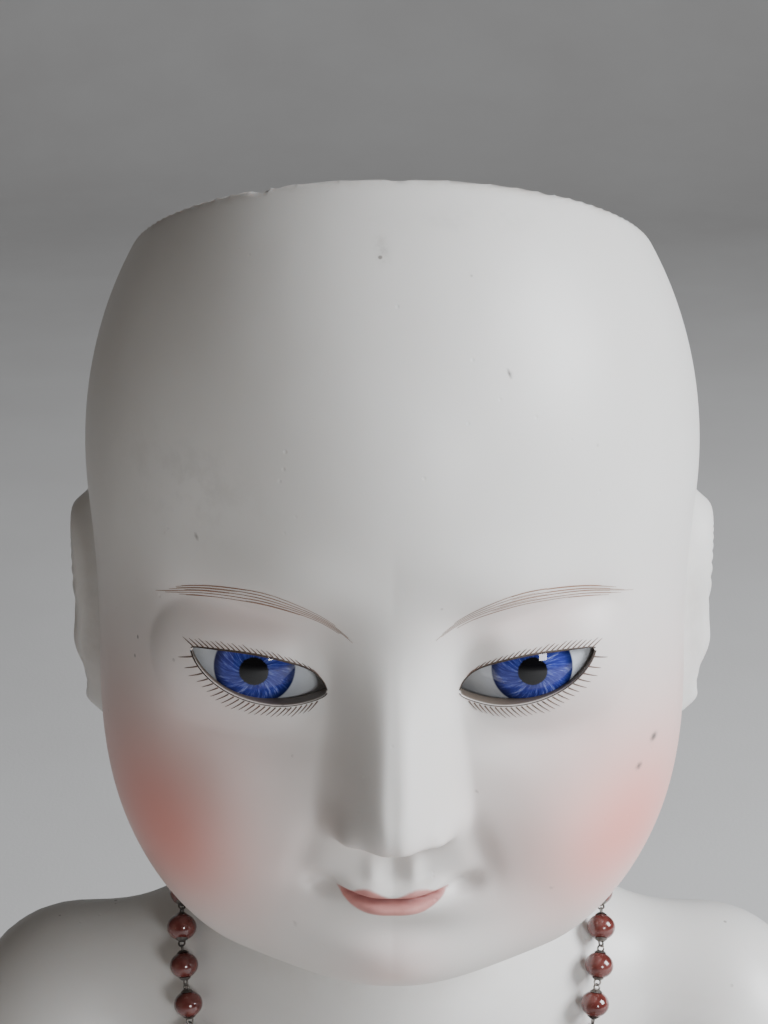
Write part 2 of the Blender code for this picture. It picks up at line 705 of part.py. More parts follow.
def make_arm(side, word):
    turn = Matrix.Translation(mirrored(SHOULDER, side))
    shoulder = holder(f"shoulder_joint_{word}", turn)
    spread = holder(f"spread_joint_{word}", Matrix.Rotation(-ARM_SPREAD * side, 4, "Y"), shoulder)

    # The ball turns on a dowel along X and is slotted for the upper arm's tongue.
    slot = 2.6 * MM
    tongue = slot - GAP
    made = hang(object_from(ball(SHOULDER_BALL, (0, 0, 0), 16, 10), f"shoulder_ball_{word}", WOOD), shoulder)
    dowel = rod(ARM_PIN * 2, (-19 * MM * side, 0, 0), (-8 * MM * side, 0, 0), 12)
    boolean(made, hang(cutter(dowel, f"shoulder_dowel_{word}"), shoulder), "UNION")
    inward, outward = sorted((-7 * MM * side, 20 * MM * side))
    opening = box((inward, -slot, -20 * MM), (outward, slot, 7 * MM))
    across = rod(ARM_PIN + GAP, (0, -20 * MM, 0), (0, 20 * MM, 0), 12)
    hinge_cutters(made, shoulder, f"shoulder_{word}", [opening, across])
    pin = object_from(rod(ARM_PIN, (0, -10.5 * MM, 0), (0, 10.5 * MM, 0), 12), f"shoulder_pin_{word}", IRON)
    hang(pin, shoulder)

    # Upper arm: a flat tongue above, a fork at the elbow below.
    top = -SHOULDER_BALL - 1.2 * MM
    elbow = -UPPER_ARM
    profile = (
        (0, top),
        (6.0 * MM, top),
        (9.4 * MM, top - 2.5 * MM),
        (10.6 * MM, top - 12 * MM),
        (9.8 * MM, top - 26 * MM),
        (8.0 * MM, elbow + 10 * MM),
        (ELBOW_RADIUS, elbow + 2.5 * MM),
        (ELBOW_RADIUS * 0.94, elbow - 3.0 * MM),
        (ELBOW_RADIUS * 0.66, elbow - 6.4 * MM),
        (ELBOW_RADIUS * 0.3, elbow - 8.2 * MM),
        (0, elbow - ELBOW_RADIUS),
    )
    upper = hang(turned(f"upper_arm_{word}", profile, WOOD), spread)
    blade = box((-5.0 * MM, -tongue, top - 3 * MM), (5.0 * MM, tongue, 0))
    boolean(upper, hang(cutter(blade, f"arm_tongue_{word}"), spread), "UNION")
    eye = rod(5.0 * MM, (0, -tongue, 0), (0, tongue, 0), 18)
    boolean(upper, hang(cutter(eye, f"arm_tongue_end_{word}"), spread), "UNION")
    across = rod(ARM_PIN + GAP, (0, -20 * MM, 0), (0, 20 * MM, 0), 12)
    fork = box((-2.6 * MM, -20 * MM, elbow - 20 * MM), (2.6 * MM, 20 * MM, elbow + ELBOW_RADIUS))
    hinge_cutters(upper, spread, f"upper_arm_{word}", [across, fork, pin_hole(ARM_PIN, elbow)])
    make_pin(f"elbow_pin_{word}", ARM_PIN, ELBOW_RADIUS * 0.86, elbow, spread)

    bend = Matrix.Translation((0, 0, elbow)) @ Matrix.Rotation(-ELBOW_FLEX, 4, "X")
    forearm_joint = holder(f"elbow_joint_{word}", bend, spread)
    make_forearm(word, forearm_joint)
    wrist = holder(f"wrist_joint_{word}", Matrix.Translation((0, 0, -FOREARM)), forearm_joint)
    make_hand(side, word, wrist)


def make_forearm(word, parent):
    start = -ELBOW_RADIUS - 0.9 * MM
    profile = (
        (0, start),
        (5.0 * MM, start),
        (7.6 * MM, start - 2.0 * MM),
        (8.2 * MM, start - 8 * MM),
        (6.6 * MM, -FOREARM * 0.72),
        (WRIST_RADIUS, -FOREARM + 3 * MM),
        (WRIST_RADIUS, -FOREARM),
        (0, -FOREARM),
    )
    forearm = hang(turned(f"forearm_{word}", profile, WOOD), parent)
    half = 2.6 * MM - GAP
    tongue = box((-half, -4.6 * MM, start - 3 * MM), (half, 4.6 * MM, 0))
    boolean(forearm, hang(cutter(tongue, f"forearm_tongue_{word}"), parent), "UNION")
    end = rod(5.6 * MM, (-half, 0, 0), (half, 0, 0), 18)
    boolean(forearm, hang(cutter(end, f"forearm_end_{word}"), parent), "UNION")
    socket = rod(2.2 * MM + GAP, (0, 0, -FOREARM - 2 * MM), (0, 0, -FOREARM + 9 * MM), 12)
    hinge_cutters(forearm, parent, f"forearm_{word}", [pin_hole(ARM_PIN, 0), socket])


def finger(start, way, length, radius):
    start, way = Vector(start), Vector(way).normalized()
    return rod(radius, start, start + way * length, 8, radius * 0.78)


def make_hand(side, word, parent):
    """Palm, thumb and four fingers, on a peg that turns in the forearm. The thumb points forward."""
    palm = ball(Vector((4.2, 8.2, 10.2)) * MM, (0, 0, -10.4 * MM), 14, 9)
    hand = hang(object_from(palm, f"hand_{word}", WOOD), parent)
    pieces = [rod(2.2 * MM, (0, 0, 8.0 * MM), (0, 0, -6 * MM), 12)]
    pieces.append(rod(4.9 * MM, (0, 0, -GAP), (0, 0, -6 * MM), 16))
    for index, length in enumerate((12.0, 13.6, 12.8, 10.4)):
        across = (index - 1.5) * 3.7 * MM - 0.5 * MM
        way = (-0.12 * side, 0.05 * (index - 1.5), -1)
        pieces.append(finger((0, across, -16 * MM), way, (length + 2) * MM, 1.9 * MM))
    thumb_root = (-1.2 * MM * side, -4.5 * MM, -8 * MM)
    pieces.append(finger(thumb_root, (-0.3 * side, -0.62, -0.8), 12.5 * MM, 2.1 * MM))
    for index, bm in enumerate(pieces):
        boolean(hand, hang(cutter(bm, f"hand_{word}_{index}"), parent), "UNION")


def make_leg(side, word):
    forward = math.pi / 2 + THIGH_RAISE
    place_hip = Matrix.Translation(mirrored(HIP, side)) @ Matrix.Rotation(-forward, 4, "X")
    hip = holder(f"hip_joint_{word}", place_hip)
    knee = -THIGH
    profile = (
        (0, HIP_BALL),
        (HIP_BALL * 0.38, HIP_BALL * 0.925),
        (HIP_BALL * 0.71, HIP_BALL * 0.71),
        (HIP_BALL * 0.925, HIP_BALL * 0.38),
        (HIP_BALL, 0),
        (HIP_BALL * 0.985, -20 * MM),
        (14.4 * MM, -46 * MM),
        (11.8 * MM, -80 * MM),
        (10.2 * MM, knee + 12 * MM),
        (KNEE_RADIUS, knee + 3 * MM),
        (KNEE_RADIUS * 0.94, knee - 3.6 * MM),
        (KNEE_RADIUS * 0.7, knee - 7.4 * MM),
        (KNEE_RADIUS * 0.34, knee - 9.8 * MM),
        (0, knee - KNEE_RADIUS),
    )
    thigh = hang(turned(f"thigh_{word}", profile, WOOD, 14), hip)
    fork = box((-3.2 * MM, -25 * MM, knee - 20 * MM), (3.2 * MM, 25 * MM, knee + KNEE_RADIUS))
    hinge_cutters(thigh, hip, f"thigh_{word}", [pin_hole(LEG_PIN, 0), fork, pin_hole(LEG_PIN, knee)])
    make_pin(f"knee_pin_{word}", LEG_PIN, KNEE_RADIUS * 0.86, knee, hip)

    knee_height = HIP.z + THIGH * math.sin(THIGH_RAISE)
    drop = math.asin((knee_height - HEEL_BACK - 0.2 * MM) / SHIN)
    flex = THIGH_RAISE + drop
    bend = Matrix.Translation((0, 0, knee)) @ Matrix.Rotation(flex, 4, "X")
    knee_joint = holder(f"knee_joint_{word}", bend, hip)
    make_shin(word, knee_joint)
    ankle_turn = Matrix.Translation((0, 0, -SHIN)) @ Matrix.Rotation(ANKLE_DROOP, 4, "X")
    ankle = holder(f"ankle_joint_{word}", ankle_turn, knee_joint)
    make_foot(word, ankle)


def make_shin(word, parent):
    start = -KNEE_RADIUS - 0.9 * MM
    ankle = -SHIN
    profile = (
        (0, start),
        (6.0 * MM, start),
        (9.2 * MM, start - 2.5 * MM),
        (11.2 * MM, -34 * MM),
        (10.4 * MM, -50 * MM),
        (7.4 * MM, -80 * MM),
        (6.4 * MM, ankle + 11 * MM),
        (ANKLE_RADIUS, ankle + 2 * MM),
        (ANKLE_RADIUS * 0.9, ankle - 3 * MM),
        (ANKLE_RADIUS * 0.6, ankle - 5.6 * MM),
        (0, ankle - ANKLE_RADIUS),
    )
    shin = hang(turned(f"shin_{word}", profile, WOOD), parent)
    half = 3.2 * MM - GAP
    tongue = box((-half, -5.6 * MM, start - 3 * MM), (half, 5.6 * MM, 0))
    boolean(shin, hang(cutter(tongue, f"shin_tongue_{word}"), parent), "UNION")
    end = rod(6.8 * MM, (-half, 0, 0), (half, 0, 0), 18)
    boolean(shin, hang(cutter(end, f"shin_end_{word}"), parent), "UNION")
    fork = box((-2.4 * MM, -25 * MM, ankle - 20 * MM), (2.4 * MM, 25 * MM, ankle + ANKLE_RADIUS - 0.6 * MM))
    hinge_cutters(shin, parent, f"shin_{word}", [pin_hole(LEG_PIN, 0), fork, pin_hole(ARM_PIN, ankle)])
    make_pin(f"ankle_pin_{word}", ARM_PIN, ANKLE_RADIUS * 0.86, ankle, parent)


def make_foot(word, parent):
    """A carved foot below the ankle: a tongue in the shin's fork on a tapered sole."""
    sole = -19.0 * MM
    half = 2.4 * MM - GAP
    foot = ball(Vector((8.6, 21.0, 6.4)) * MM, (0, -11.0 * MM, -13.6 * MM), 14, 8)
    foot = hang(object_from(foot, f"foot_{word}", WOOD), parent)
    heel = ball(Vector((7.2, 8.6, 6.6)) * MM, (0, -0.6 * MM, -13.6 * MM), 10, 7)
    boolean(foot, hang(cutter(heel, f"foot_heel_{word}"), parent), "UNION")
    instep = ball(Vector((6.6, 11.0, 5.6)) * MM, (0, -5.0 * MM, -12.8 * MM), 10, 7)
    boolean(foot, hang(cutter(instep, f"foot_instep_{word}"), parent), "UNION")
    tongue = box((-half, -3.4 * MM, -11 * MM), (half, 3.4 * MM, 0))
    boolean(foot, hang(cutter(tongue, f"foot_tongue_{word}"), parent), "UNION")
    end = rod(4.4 * MM, (-half, 0, 0), (half, 0, 0), 16)
    boolean(foot, hang(cutter(end, f"foot_end_{word}"), parent), "UNION")
    flat = box((-30 * MM, -60 * MM, sole - 20 * MM), (30 * MM, 30 * MM, sole))
    hinge_cutters(foot, parent, f"foot_{word}", [flat, pin_hole(ARM_PIN, 0)])


# ---------------------------------------------------------------- necklace


def necklace_path(count, lift):
    """Points of the string of beads on the shoulder plate, from the clasp round and back to it."""
    half = [
        Vector((0, 21, 36)),
        Vector((16, 17, 42)),
        Vector((23, 5, 47.5)),
        Vector((25.7, -8, 43)),
        Vector((27, -15, 32)),
        Vector((23, -25, 13)),
        Vector((12, -31, -1)),
        Vector((0, -33, -6)),
    ]
    knots = half + [Vector((-p.x, p.y, p.z)) for p in reversed(half[:-1])]
    places = np.array([tuple(k) for k in knots])
    s = np.linspace(0, len(knots) - 1, count)
    smooth = np.zeros((count, 3))
    for i, at in enumerate(s):
        k = min(int(at), len(knots) - 2)
        t = at - k
        p0, p1 = places[max(k - 1, 0)], places[k]
        p2, p3 = places[k + 1], places[min(k + 2, len(knots) - 1)]
        bend = (2 * p0 - 5 * p1 + 4 * p2 - p3) * t * t + (3 * p1 - p0 - 3 * p2 + p3) * t**3
        smooth[i] = 0.5 * (2 * p1 + (p2 - p0) * t + bend)
    directions = smooth / np.linalg.norm(smooth, axis=1, keepdims=True)
    radius = surface_radius(torso_distance, TORSO_CENTRE, directions, 0.12)
    surface = np.array(TORSO_CENTRE) + directions * radius[:, None]
    return surface + outward(torso_distance, surface) * lift


def make_necklace():
    path = necklace_path(97, BEAD_RADIUS + 2.8 * GAP)
    lengths = np.concatenate([[0], np.cumsum(np.linalg.norm(np.diff(path, axis=0), axis=1))])
    total = lengths[-1]
    room = CLASP_LENGTH / 2 + GAP
    wanted = np.linspace(room, total - room, 60)
    points = np.stack([np.interp(wanted, lengths, path[:, k]) for k in range(3)], axis=1)
    curve = bpy.data.curves.new("bead_string", "CURVE")
    curve.dimensions = "3D"
    curve.bevel_depth = BEAD_RADIUS
    curve.bevel_resolution = 1
    curve.use_fill_caps = True
    spline = curve.splines.new("POLY")
    spline.points.add(len(points) - 1)
    for point, spot in zip(spline.points, points):
        point.co = (*spot, 1.0)
    link(bpy.data.objects.new("bead_string", curve), BEADS)

    middle = Vector(path[0])
    along = Vector((CLASP_LENGTH / 2 - GAP, 0, 0))
    object_from(rod(BEAD_RADIUS, middle - along, middle + along, 14), "necklace_clasp", BRASS)


make_head()
for eye_side, eye_word in ((1, "left"), (-1, "right")):
    make_eye(eye_side, eye_word)
trim_plaster()
make_neck()
make_plate()
make_chest()
make_pelvis()
for limb_side, limb_word in ((1, "left"), (-1, "right")):
    make_arm(limb_side, limb_word)
    make_leg(limb_side, limb_word)
make_necklace()
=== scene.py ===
import json
import math
import random

import bmesh
import bpy
import numpy as np
from mathutils import Matrix, Vector


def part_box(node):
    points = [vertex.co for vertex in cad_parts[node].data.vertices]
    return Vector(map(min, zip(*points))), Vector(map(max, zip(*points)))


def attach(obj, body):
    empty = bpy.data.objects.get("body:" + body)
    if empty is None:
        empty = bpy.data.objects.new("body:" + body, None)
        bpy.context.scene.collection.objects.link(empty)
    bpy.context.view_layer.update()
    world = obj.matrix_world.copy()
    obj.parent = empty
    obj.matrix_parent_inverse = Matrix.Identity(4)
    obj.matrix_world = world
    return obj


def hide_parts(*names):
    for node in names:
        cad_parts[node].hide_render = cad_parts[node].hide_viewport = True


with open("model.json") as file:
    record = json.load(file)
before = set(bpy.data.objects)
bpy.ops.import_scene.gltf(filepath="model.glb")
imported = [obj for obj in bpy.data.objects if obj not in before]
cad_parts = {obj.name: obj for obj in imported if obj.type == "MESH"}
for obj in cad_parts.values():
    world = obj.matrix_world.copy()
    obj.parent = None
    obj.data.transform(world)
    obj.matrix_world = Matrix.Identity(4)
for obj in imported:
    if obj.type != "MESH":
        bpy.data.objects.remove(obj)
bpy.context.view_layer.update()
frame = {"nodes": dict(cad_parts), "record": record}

MM = 0.001
RANDOM = random.Random(11)

# ---------------------------------------------------------------- places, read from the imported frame

EYE_LOW, EYE_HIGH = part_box("eye_left")
EYE_RADII = np.array((11.0, 9.6, 9.2))
EYE_IN_HEAD = np.array((14.8, -24.6, 0.0))
HEAD = Vector((0, EYE_LOW.y + (EYE_RADII[1] - EYE_IN_HEAD[1]) * MM, (EYE_LOW.z + EYE_HIGH.z) / 2))
JOINTS = {joint["name"]: joint for joint in frame["record"]["behaviour"]["joints"]}


def joint_place(name):
    """Where a joint is in the frame, in mm."""
    return Vector(JOINTS[name]["pos_m"]) / MM


PIVOT = joint_place("neck_turn")
SHOULDER = joint_place("shoulder_swing_left")
WAIST = joint_place("waist_turn")
HIP = joint_place("hip_bend_left")

# ---------------------------------------------------------------- forms, in mm
# The head's points are about HEAD, a point within the skull level with the eyes, and the body's are
# about the frame's origin.
# A form is a list of ellipsoids: centre, radii, how far it blends with what comes before, and 1 to
# join it or -1 to keep the form out of it. Each is mirrored at x = 0.

HEAD_CENTRE = np.array((0.0, 2.0, -4.0))
HEAD_WALL = 3.2
CROWN_HEIGHT = 41.0
CROWN_FALL = 0.5
NECK_RADIUS = 16.3
EYE_MIDDLE = 14.5
LID = 1.15
EYE_HALF_WIDTH = 7.4
IRIS_RADIUS = 4.38
DOME_RADIUS = 5.0
DOME_HEIGHT = 0.55
HEAD_FORM = (
    ((0, 4, 14), (37.5, 43, 44), 0, 1),
    ((0, -4.4, -17.5), (35.4, 31.0, 31.8), 12, 1),
    ((13.2, -14.1, -20), (14.5, 17.4, 21.7), 12, 1),
    ((0, -25.9, -33.1), (11.6, 9.0, 8.6), 9, 1),
    ((0, 0, -144.2), (200, 200, 100), 6, -1),
)
TRUNK_FORM = (
    ((0, 1, 150), (42, 25, 46), 0, 1),
    ((0, 4, 188), (54, 17, 24), 13, 1),
    ((46, 3.5, 184), (15, 17, 20), 7, 1),
    ((18, -14, 143), (16, 15, 16), 12, 1),
    ((0, 1, 95), (27, 20, 36), 20, 1),
)
NECK_ROOT = ((0, 0, 206), (22, 21, 22), 14, 1)
PELVIS_FORM = (
    ((0, 3, 29), (42, 31, 39), 0, 1),
    ((0, 1, 95), (27, 20, 36), 16, 1),
)
TORSO_CENTRE = np.array((0.0, 0.0, 160.0))
PLATE_EDGE = 137.0
ARCH_RADIUS = 14.6


def ellipsoid_distance(points, centre, radii):
    """About how far points are from an ellipsoid, below 0 inside it."""
    q = points - centre
    k0 = np.sqrt(((q / radii) ** 2).sum(-1))
    k1 = np.sqrt(((q / radii**2) ** 2).sum(-1))
    return k0 * (k0 - 1) / np.maximum(k1, 1e-9)


def blend_union(a, b, blend):
    """The lower of two distances, rounded where they are nearly equal."""
    rise = np.maximum(blend - np.abs(a - b), 0) / max(blend, 1e-9)
    return np.minimum(a, b) - rise * rise * blend / 4


def form_distance(form, points):
    folded = points.copy()
    folded[:, 0] = np.abs(folded[:, 0])
    total = None
    for centre, radii, blend, sign in form:
        piece = ellipsoid_distance(folded, np.array(centre, float), np.array(radii, float))
        if total is None:
            total = piece
        else:
            total = sign * blend_union(sign * total, piece, blend)
    return total


def neck_distance(points):
    bottom = np.array(PIVOT - HEAD / MM)
    q = points - bottom
    q[:, 2] -= np.clip(q[:, 2], 0, 30)
    return np.sqrt((q**2).sum(-1)) - NECK_RADIUS


def head_distance(points):
    return blend_union(form_distance(HEAD_FORM, points), neck_distance(points), 3)


def skull_distance(points):
    return form_distance(HEAD_FORM, points)


def torso_distance(points):
    return form_distance((*TRUNK_FORM, NECK_ROOT), points)


def trunk_distance(points):
    return form_distance(TRUNK_FORM, points)


def surface_radius(distance, centre, directions, reach):
    """How far a form's surface lies from a centre inside it, along each direction."""
    low, high = np.zeros(len(directions)), np.full(len(directions), float(reach))
    for _ in range(24):
        middle = (low + high) / 2
        inside = distance(centre + directions * middle[:, None]) < 0
        low, high = np.where(inside, middle, low), np.where(inside, high, middle)
    return (low + high) / 2


def bump(value, middle, spread):
    """1 at the middle, falling softly to 0 on both sides."""
    return np.exp(-(((value - middle) / spread) ** 2))


def step(value, start, end):
    """0 before the start, 1 past the end, and smooth between them."""
    t = np.clip((value - start) / (end - start), 0, 1)
    return t * t * (3 - 2 * t)


# ---------------------------------------------------------------- the face


def mouth_line(x):
    """Height of the parting of the lips, which lifts towards the corners."""
    return -26.2 + 1.0 * (np.abs(x) / 6.3) ** 2


def features(points):
    """How far each point of the face stands forward of the plain head form, in mm."""
    x, z = np.abs(points[:, 0]), points[:, 2]
    bridge = 0.7 * step(z, 13, 3) + 7.7 * step(z, 5.5, -13)
    bridge *= 1 - step(z, -15.6, -19.6)
    ridge = 0.2 + 0.5 * step(z, 6, -12)
    foot = 6.9 + 2.2 * step(z, 3, -15)
    nose = bridge * (1 - step(x, ridge, foot))
    nose += 1.5 * bump(x, 0, 4.2) * bump(z, -14.2, 3.2)
    nose += 2.5 * bump(x, 5.5, 1.9) * bump(z, -16.0, 2.5)
    nose -= 1.2 * bump(x, 2.5, 1.1) * bump(z, -19.2, 0.9)
    sockets = -2.0 * bump(x, 8.0, 3.0) * bump(z, 1.0, 5.5)
    sockets -= 1.0 * bump(x, 15.5, 8.0) * bump(z, 6.6, 2.0)
    sockets -= 0.8 * bump(x, 15.0, 8.0) * bump(z, -7.2, 2.6)
    brow = 0.9 * bump(x, 13, 9) * bump(z, 11.5, 4.0)
    brow += 1.8 * bump(x, 25.5, 4.0) * bump(z, 0, 9)
    philtrum = -0.6 * bump(x, 0, 1.2) * bump(z, -22.0, 2.0)
    philtrum += 0.45 * bump(x, 2.3, 1.0) * bump(z, -22.6, 1.8)
    muzzle = 1.1 * bump(x, 0, 7.0) * bump(z, -25.5, 5.0)
    line = mouth_line(x)
    inside = np.exp(-np.abs(x / 5.6) ** 3.2)
    upper = 1.15 * inside * bump(z, line + 0.95, 1.05)
    lower = 1.35 * np.exp(-np.abs(x / 4.6) ** 3) * bump(z, line - 1.15, 1.1)
    part = -0.9 * np.exp(-np.abs(x / 6.4) ** 4) * bump(z, line, 0.4)
    corner = -1.3 * bump(x, 7.3, 1.5) * bump(z, -25.0, 1.3)
    dimple = -0.8 * bump(x, 8.9, 1.3) * bump(z, -24.6, 1.5)
    under = -1.5 * bump(x, 0, 6.5) * bump(z, -30.6, 2.1)
    chin = 1.3 * bump(x, 0, 7.0) * bump(z, -36.5, 4.6)
    cheek = 1.9 * bump(x, 20, 8.5) * bump(z, -18, 8.5)
    fold = -0.7 * bump(x - 0.3 * (-20 - z), 9.6, 1.6) * bump(z, -20.5, 4)
    total = nose + sockets + brow + philtrum + muzzle + upper + lower + part + corner
    return total + dimple + under + chin + cheek + fold


def lid_front(points, extra):
    """The y of a shell about the eyeball, or well back where there is none."""
    radii = EYE_RADII + extra
    dx = (np.abs(points[:, 0]) - EYE_IN_HEAD[0]) / radii[0]
    dz = (points[:, 2] - EYE_IN_HEAD[2]) / radii[2]
    rest = 1 - dx**2 - dz**2
    return np.where(rest > 0, EYE_IN_HEAD[1] - radii[1] * np.sqrt(np.abs(rest)), 100.0)


def lid_heights(u):
    """Heights of the upper and lower lid's edge; u runs from -1, inside, to 1, outside."""
    line = 0.35 + 2.05 * u
    rest = np.abs(1 - u * u)
    return line + rest**0.6 * (2.35 - 1.2 * u), line - rest**0.64 * (3.3 + 0.75 * u)


def almond(points):
    """Above 0 outside the eye opening and below 0 within it, in mm."""
    x = np.abs(points[:, 0]) - EYE_MIDDLE
    z = points[:, 2]
    u = np.clip(x / EYE_HALF_WIDTH, -0.9999, 0.9999)
    upper, lower = lid_heights(u)
    outside = (np.abs(z - (upper + lower) / 2) - (upper - lower) / 2) * 0.8
    return np.maximum(outside, np.abs(x) - EYE_HALF_WIDTH)


def ear(points):
    """How far the moulded ear stands out of the side of the head, in mm."""
    x, y, z = np.abs(points[:, 0]), points[:, 1], points[:, 2]
    v = (z + 7.5) / 15.5
    lean = 3.0 + 2.2 * v
    u = (y - lean) / (6.6 + 1.4 * v)
    rho = np.sqrt(u * u + v * v)
    pad = 2.4 * (1 - step(rho, 0.72, 1.1))
    rim = 1.5 * bump(rho, 0.80, 0.13) * (1 - 0.7 * bump(u, -1, 0.7) * step(v, 0.35, -0.5))
    bowl = -2.3 * bump(u, -0.05, 0.38) * bump(v, -0.12, 0.42)
    inner = 0.9 * bump(rho, 0.52, 0.1) * step(v, -0.3, 0.2)
    tragus = 1.2 * bump(u, -0.62, 0.22) * bump(v, -0.2, 0.2)
    lobe = 0.9 * bump(u, -0.1, 0.5) * bump(v, -0.82, 0.2)
    side = step(x, 22, 30)
    return (pad + rim + bowl + inner + tragus + lobe) * side


def face_weight(points):
    return step(-points[:, 1], 12, 24)


def shaped(points):
    """Points of the plain head form moved to the finished surface."""
    out = points.copy()
    out[:, 1] -= features(points) * face_weight(points)
    shell = lid_front(out, LID)
    front = out[:, 1] < 0
    gap = out[:, 1] - shell
    soft = 3.0
    merged = blend_union(out[:, 1], shell, soft)
    near = front & (shell < 50) & (gap > -soft)
    out[:, 1] = np.where(near, merged, out[:, 1])
    grow = ear(out)
    out[:, 0] += np.sign(out[:, 0]) * grow
    out[:, 1] += 0.25 * grow
    return out


def gathered(around, down):
    """Draws a grid of directions towards the face."""
    around = around - 0.5 * np.sin(around)
    down = down + 0.16 * np.sin(2 * (down - 0.35))
    level = np.sin(down)
    return np.stack([level * np.sin(around), -level * np.cos(around), np.cos(down)], axis=-1)


def crown_height(points):
    """Height above the sloping plane where the crown is cut off."""
    return (points[:, 2] - CROWN_HEIGHT + CROWN_FALL * points[:, 1]) / math.sqrt(1 + CROWN_FALL**2)


# ---------------------------------------------------------------- making objects


def link(obj):
    bpy.context.scene.collection.objects.link(obj)
    return obj


def mesh_object(name, verts, faces, origin=(0, 0, 0)):
    mesh = bpy.data.meshes.new(name)
    mesh.from_pydata([tuple(v) for v in verts], [], [tuple(f) for f in faces])
    mesh.validate()
    mesh.shade_smooth()
    obj = link(bpy.data.objects.new(name, mesh))
    obj.location = origin
    return obj


def add_attribute(obj, name, values):
    layer = obj.data.attributes.new(name, "FLOAT", "POINT")
    layer.data.foreach_set("value", np.asarray(values, np.float32))


def apply_modifiers(obj):
    bpy.context.view_layer.update()
    graph = bpy.context.evaluated_depsgraph_get()
    final = obj.evaluated_get(graph)
    made = bpy.data.meshes.new_from_object(final, preserve_all_data_layers=True, depsgraph=graph)
    obj.modifiers.clear()
    obj.data = made


# ---------------------------------------------------------------- node helpers


class Nodes:
    """A short way of writing a material's node tree."""

    def __init__(self, name):
        self.material = bpy.data.materials.new(name)
        self.material.use_nodes = True
        self.tree = self.material.node_tree
        self.shader = self.tree.nodes["Principled BSDF"]

    def node(self, kind, **settings):
        made = self.tree.nodes.new("ShaderNode" + kind)
        for key, value in settings.items():
            setattr(made, key, value)
        return made

    def wire(self, source, target):
        self.tree.links.new(source, target)

    def feed(self, socket, value):
        if isinstance(value, bpy.types.NodeSocket):
            self.wire(value, socket)
        else:
            socket.default_value = value

    def math(self, operation, a, b=0.0):
        made = self.node("Math", operation=operation)
        self.feed(made.inputs[0], a)
        self.feed(made.inputs[1], b)
        return made.outputs[0]

    def times(self, a, b):
        return self.math("MULTIPLY", a, b)

    def minus(self, a, b):
        return self.math("SUBTRACT", a, b)

    def position(self):
        return self.node("TexCoord").outputs["Object"]

    def attribute(self, name):
        return self.node("Attribute", attribute_name=name).outputs["Fac"]

    def stretch(self, vector, scale):
        made = self.node("Mapping")
        self.wire(vector, made.inputs["Vector"])
        made.inputs["Scale"].default_value = scale
        return made.outputs[0]

    def noise(self, vector, scale, detail=3.0, rough=0.55, distortion=0.0):
        made = self.node("TexNoise")
        self.wire(vector, made.inputs["Vector"])
        made.inputs["Scale"].default_value = scale
        made.inputs["Detail"].default_value = detail
        made.inputs["Roughness"].default_value = rough
        made.inputs["Distortion"].default_value = distortion
        return made.outputs["Fac"]

    def cells(self, vector, scale):
        made = self.node("TexVoronoi")
        self.wire(vector, made.inputs["Vector"])
        made.inputs["Scale"].default_value = scale
        return made.outputs["Distance"]

    def ramp(self, value, *stops):
        made = self.node("ValToRGB")
        self.wire(value, made.inputs[0])
        band = made.color_ramp.elements
        while len(band) < len(stops):
            band.new(0.5)
        for element, (place, colour) in zip(band, stops):
            element.position = place
            element.color = (*colour, 1)
        return made.outputs[0]

    def between(self, value, start, end, low=0.0, high=1.0):
        made = self.node("MapRange", interpolation_type="SMOOTHSTEP")
        self.feed(made.inputs["Value"], value)
        made.inputs["From Min"].default_value = start
        made.inputs["From Max"].default_value = end
        made.inputs["To Min"].default_value = low
        made.inputs["To Max"].default_value = high
        return made.outputs[0]

    def mix(self, factor, a, b):
        made = self.node("Mix", data_type="RGBA")
        self.feed(made.inputs[0], factor)
        self.feed(made.inputs[6], (*a, 1) if isinstance(a, tuple) else a)
        self.feed(made.inputs[7], (*b, 1) if isinstance(b, tuple) else b)
        return made.outputs[2]

    def bump(self, height, distance, strength=1.0, normal=None):
        made = self.node("Bump")
        self.wire(height, made.inputs["Height"])
        made.inputs["Distance"].default_value = distance
        made.inputs["Strength"].default_value = strength
        if normal is not None:
            self.wire(normal, made.inputs["Normal"])
        return made.outputs[0]

    def set(self, **values):
        for key, value in values.items():
            name = key.replace("_", " ")
            self.feed(self.shader.inputs[name], value)
        return self.material


def use(obj, material):
    obj.data.materials.clear()
    obj.data.materials.append(material)
    return obj


def finish(obj, material, node, body):
    use(obj, material)
    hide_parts(node)
    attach(obj, body)
    return obj


# ---------------------------------------------------------------- materials


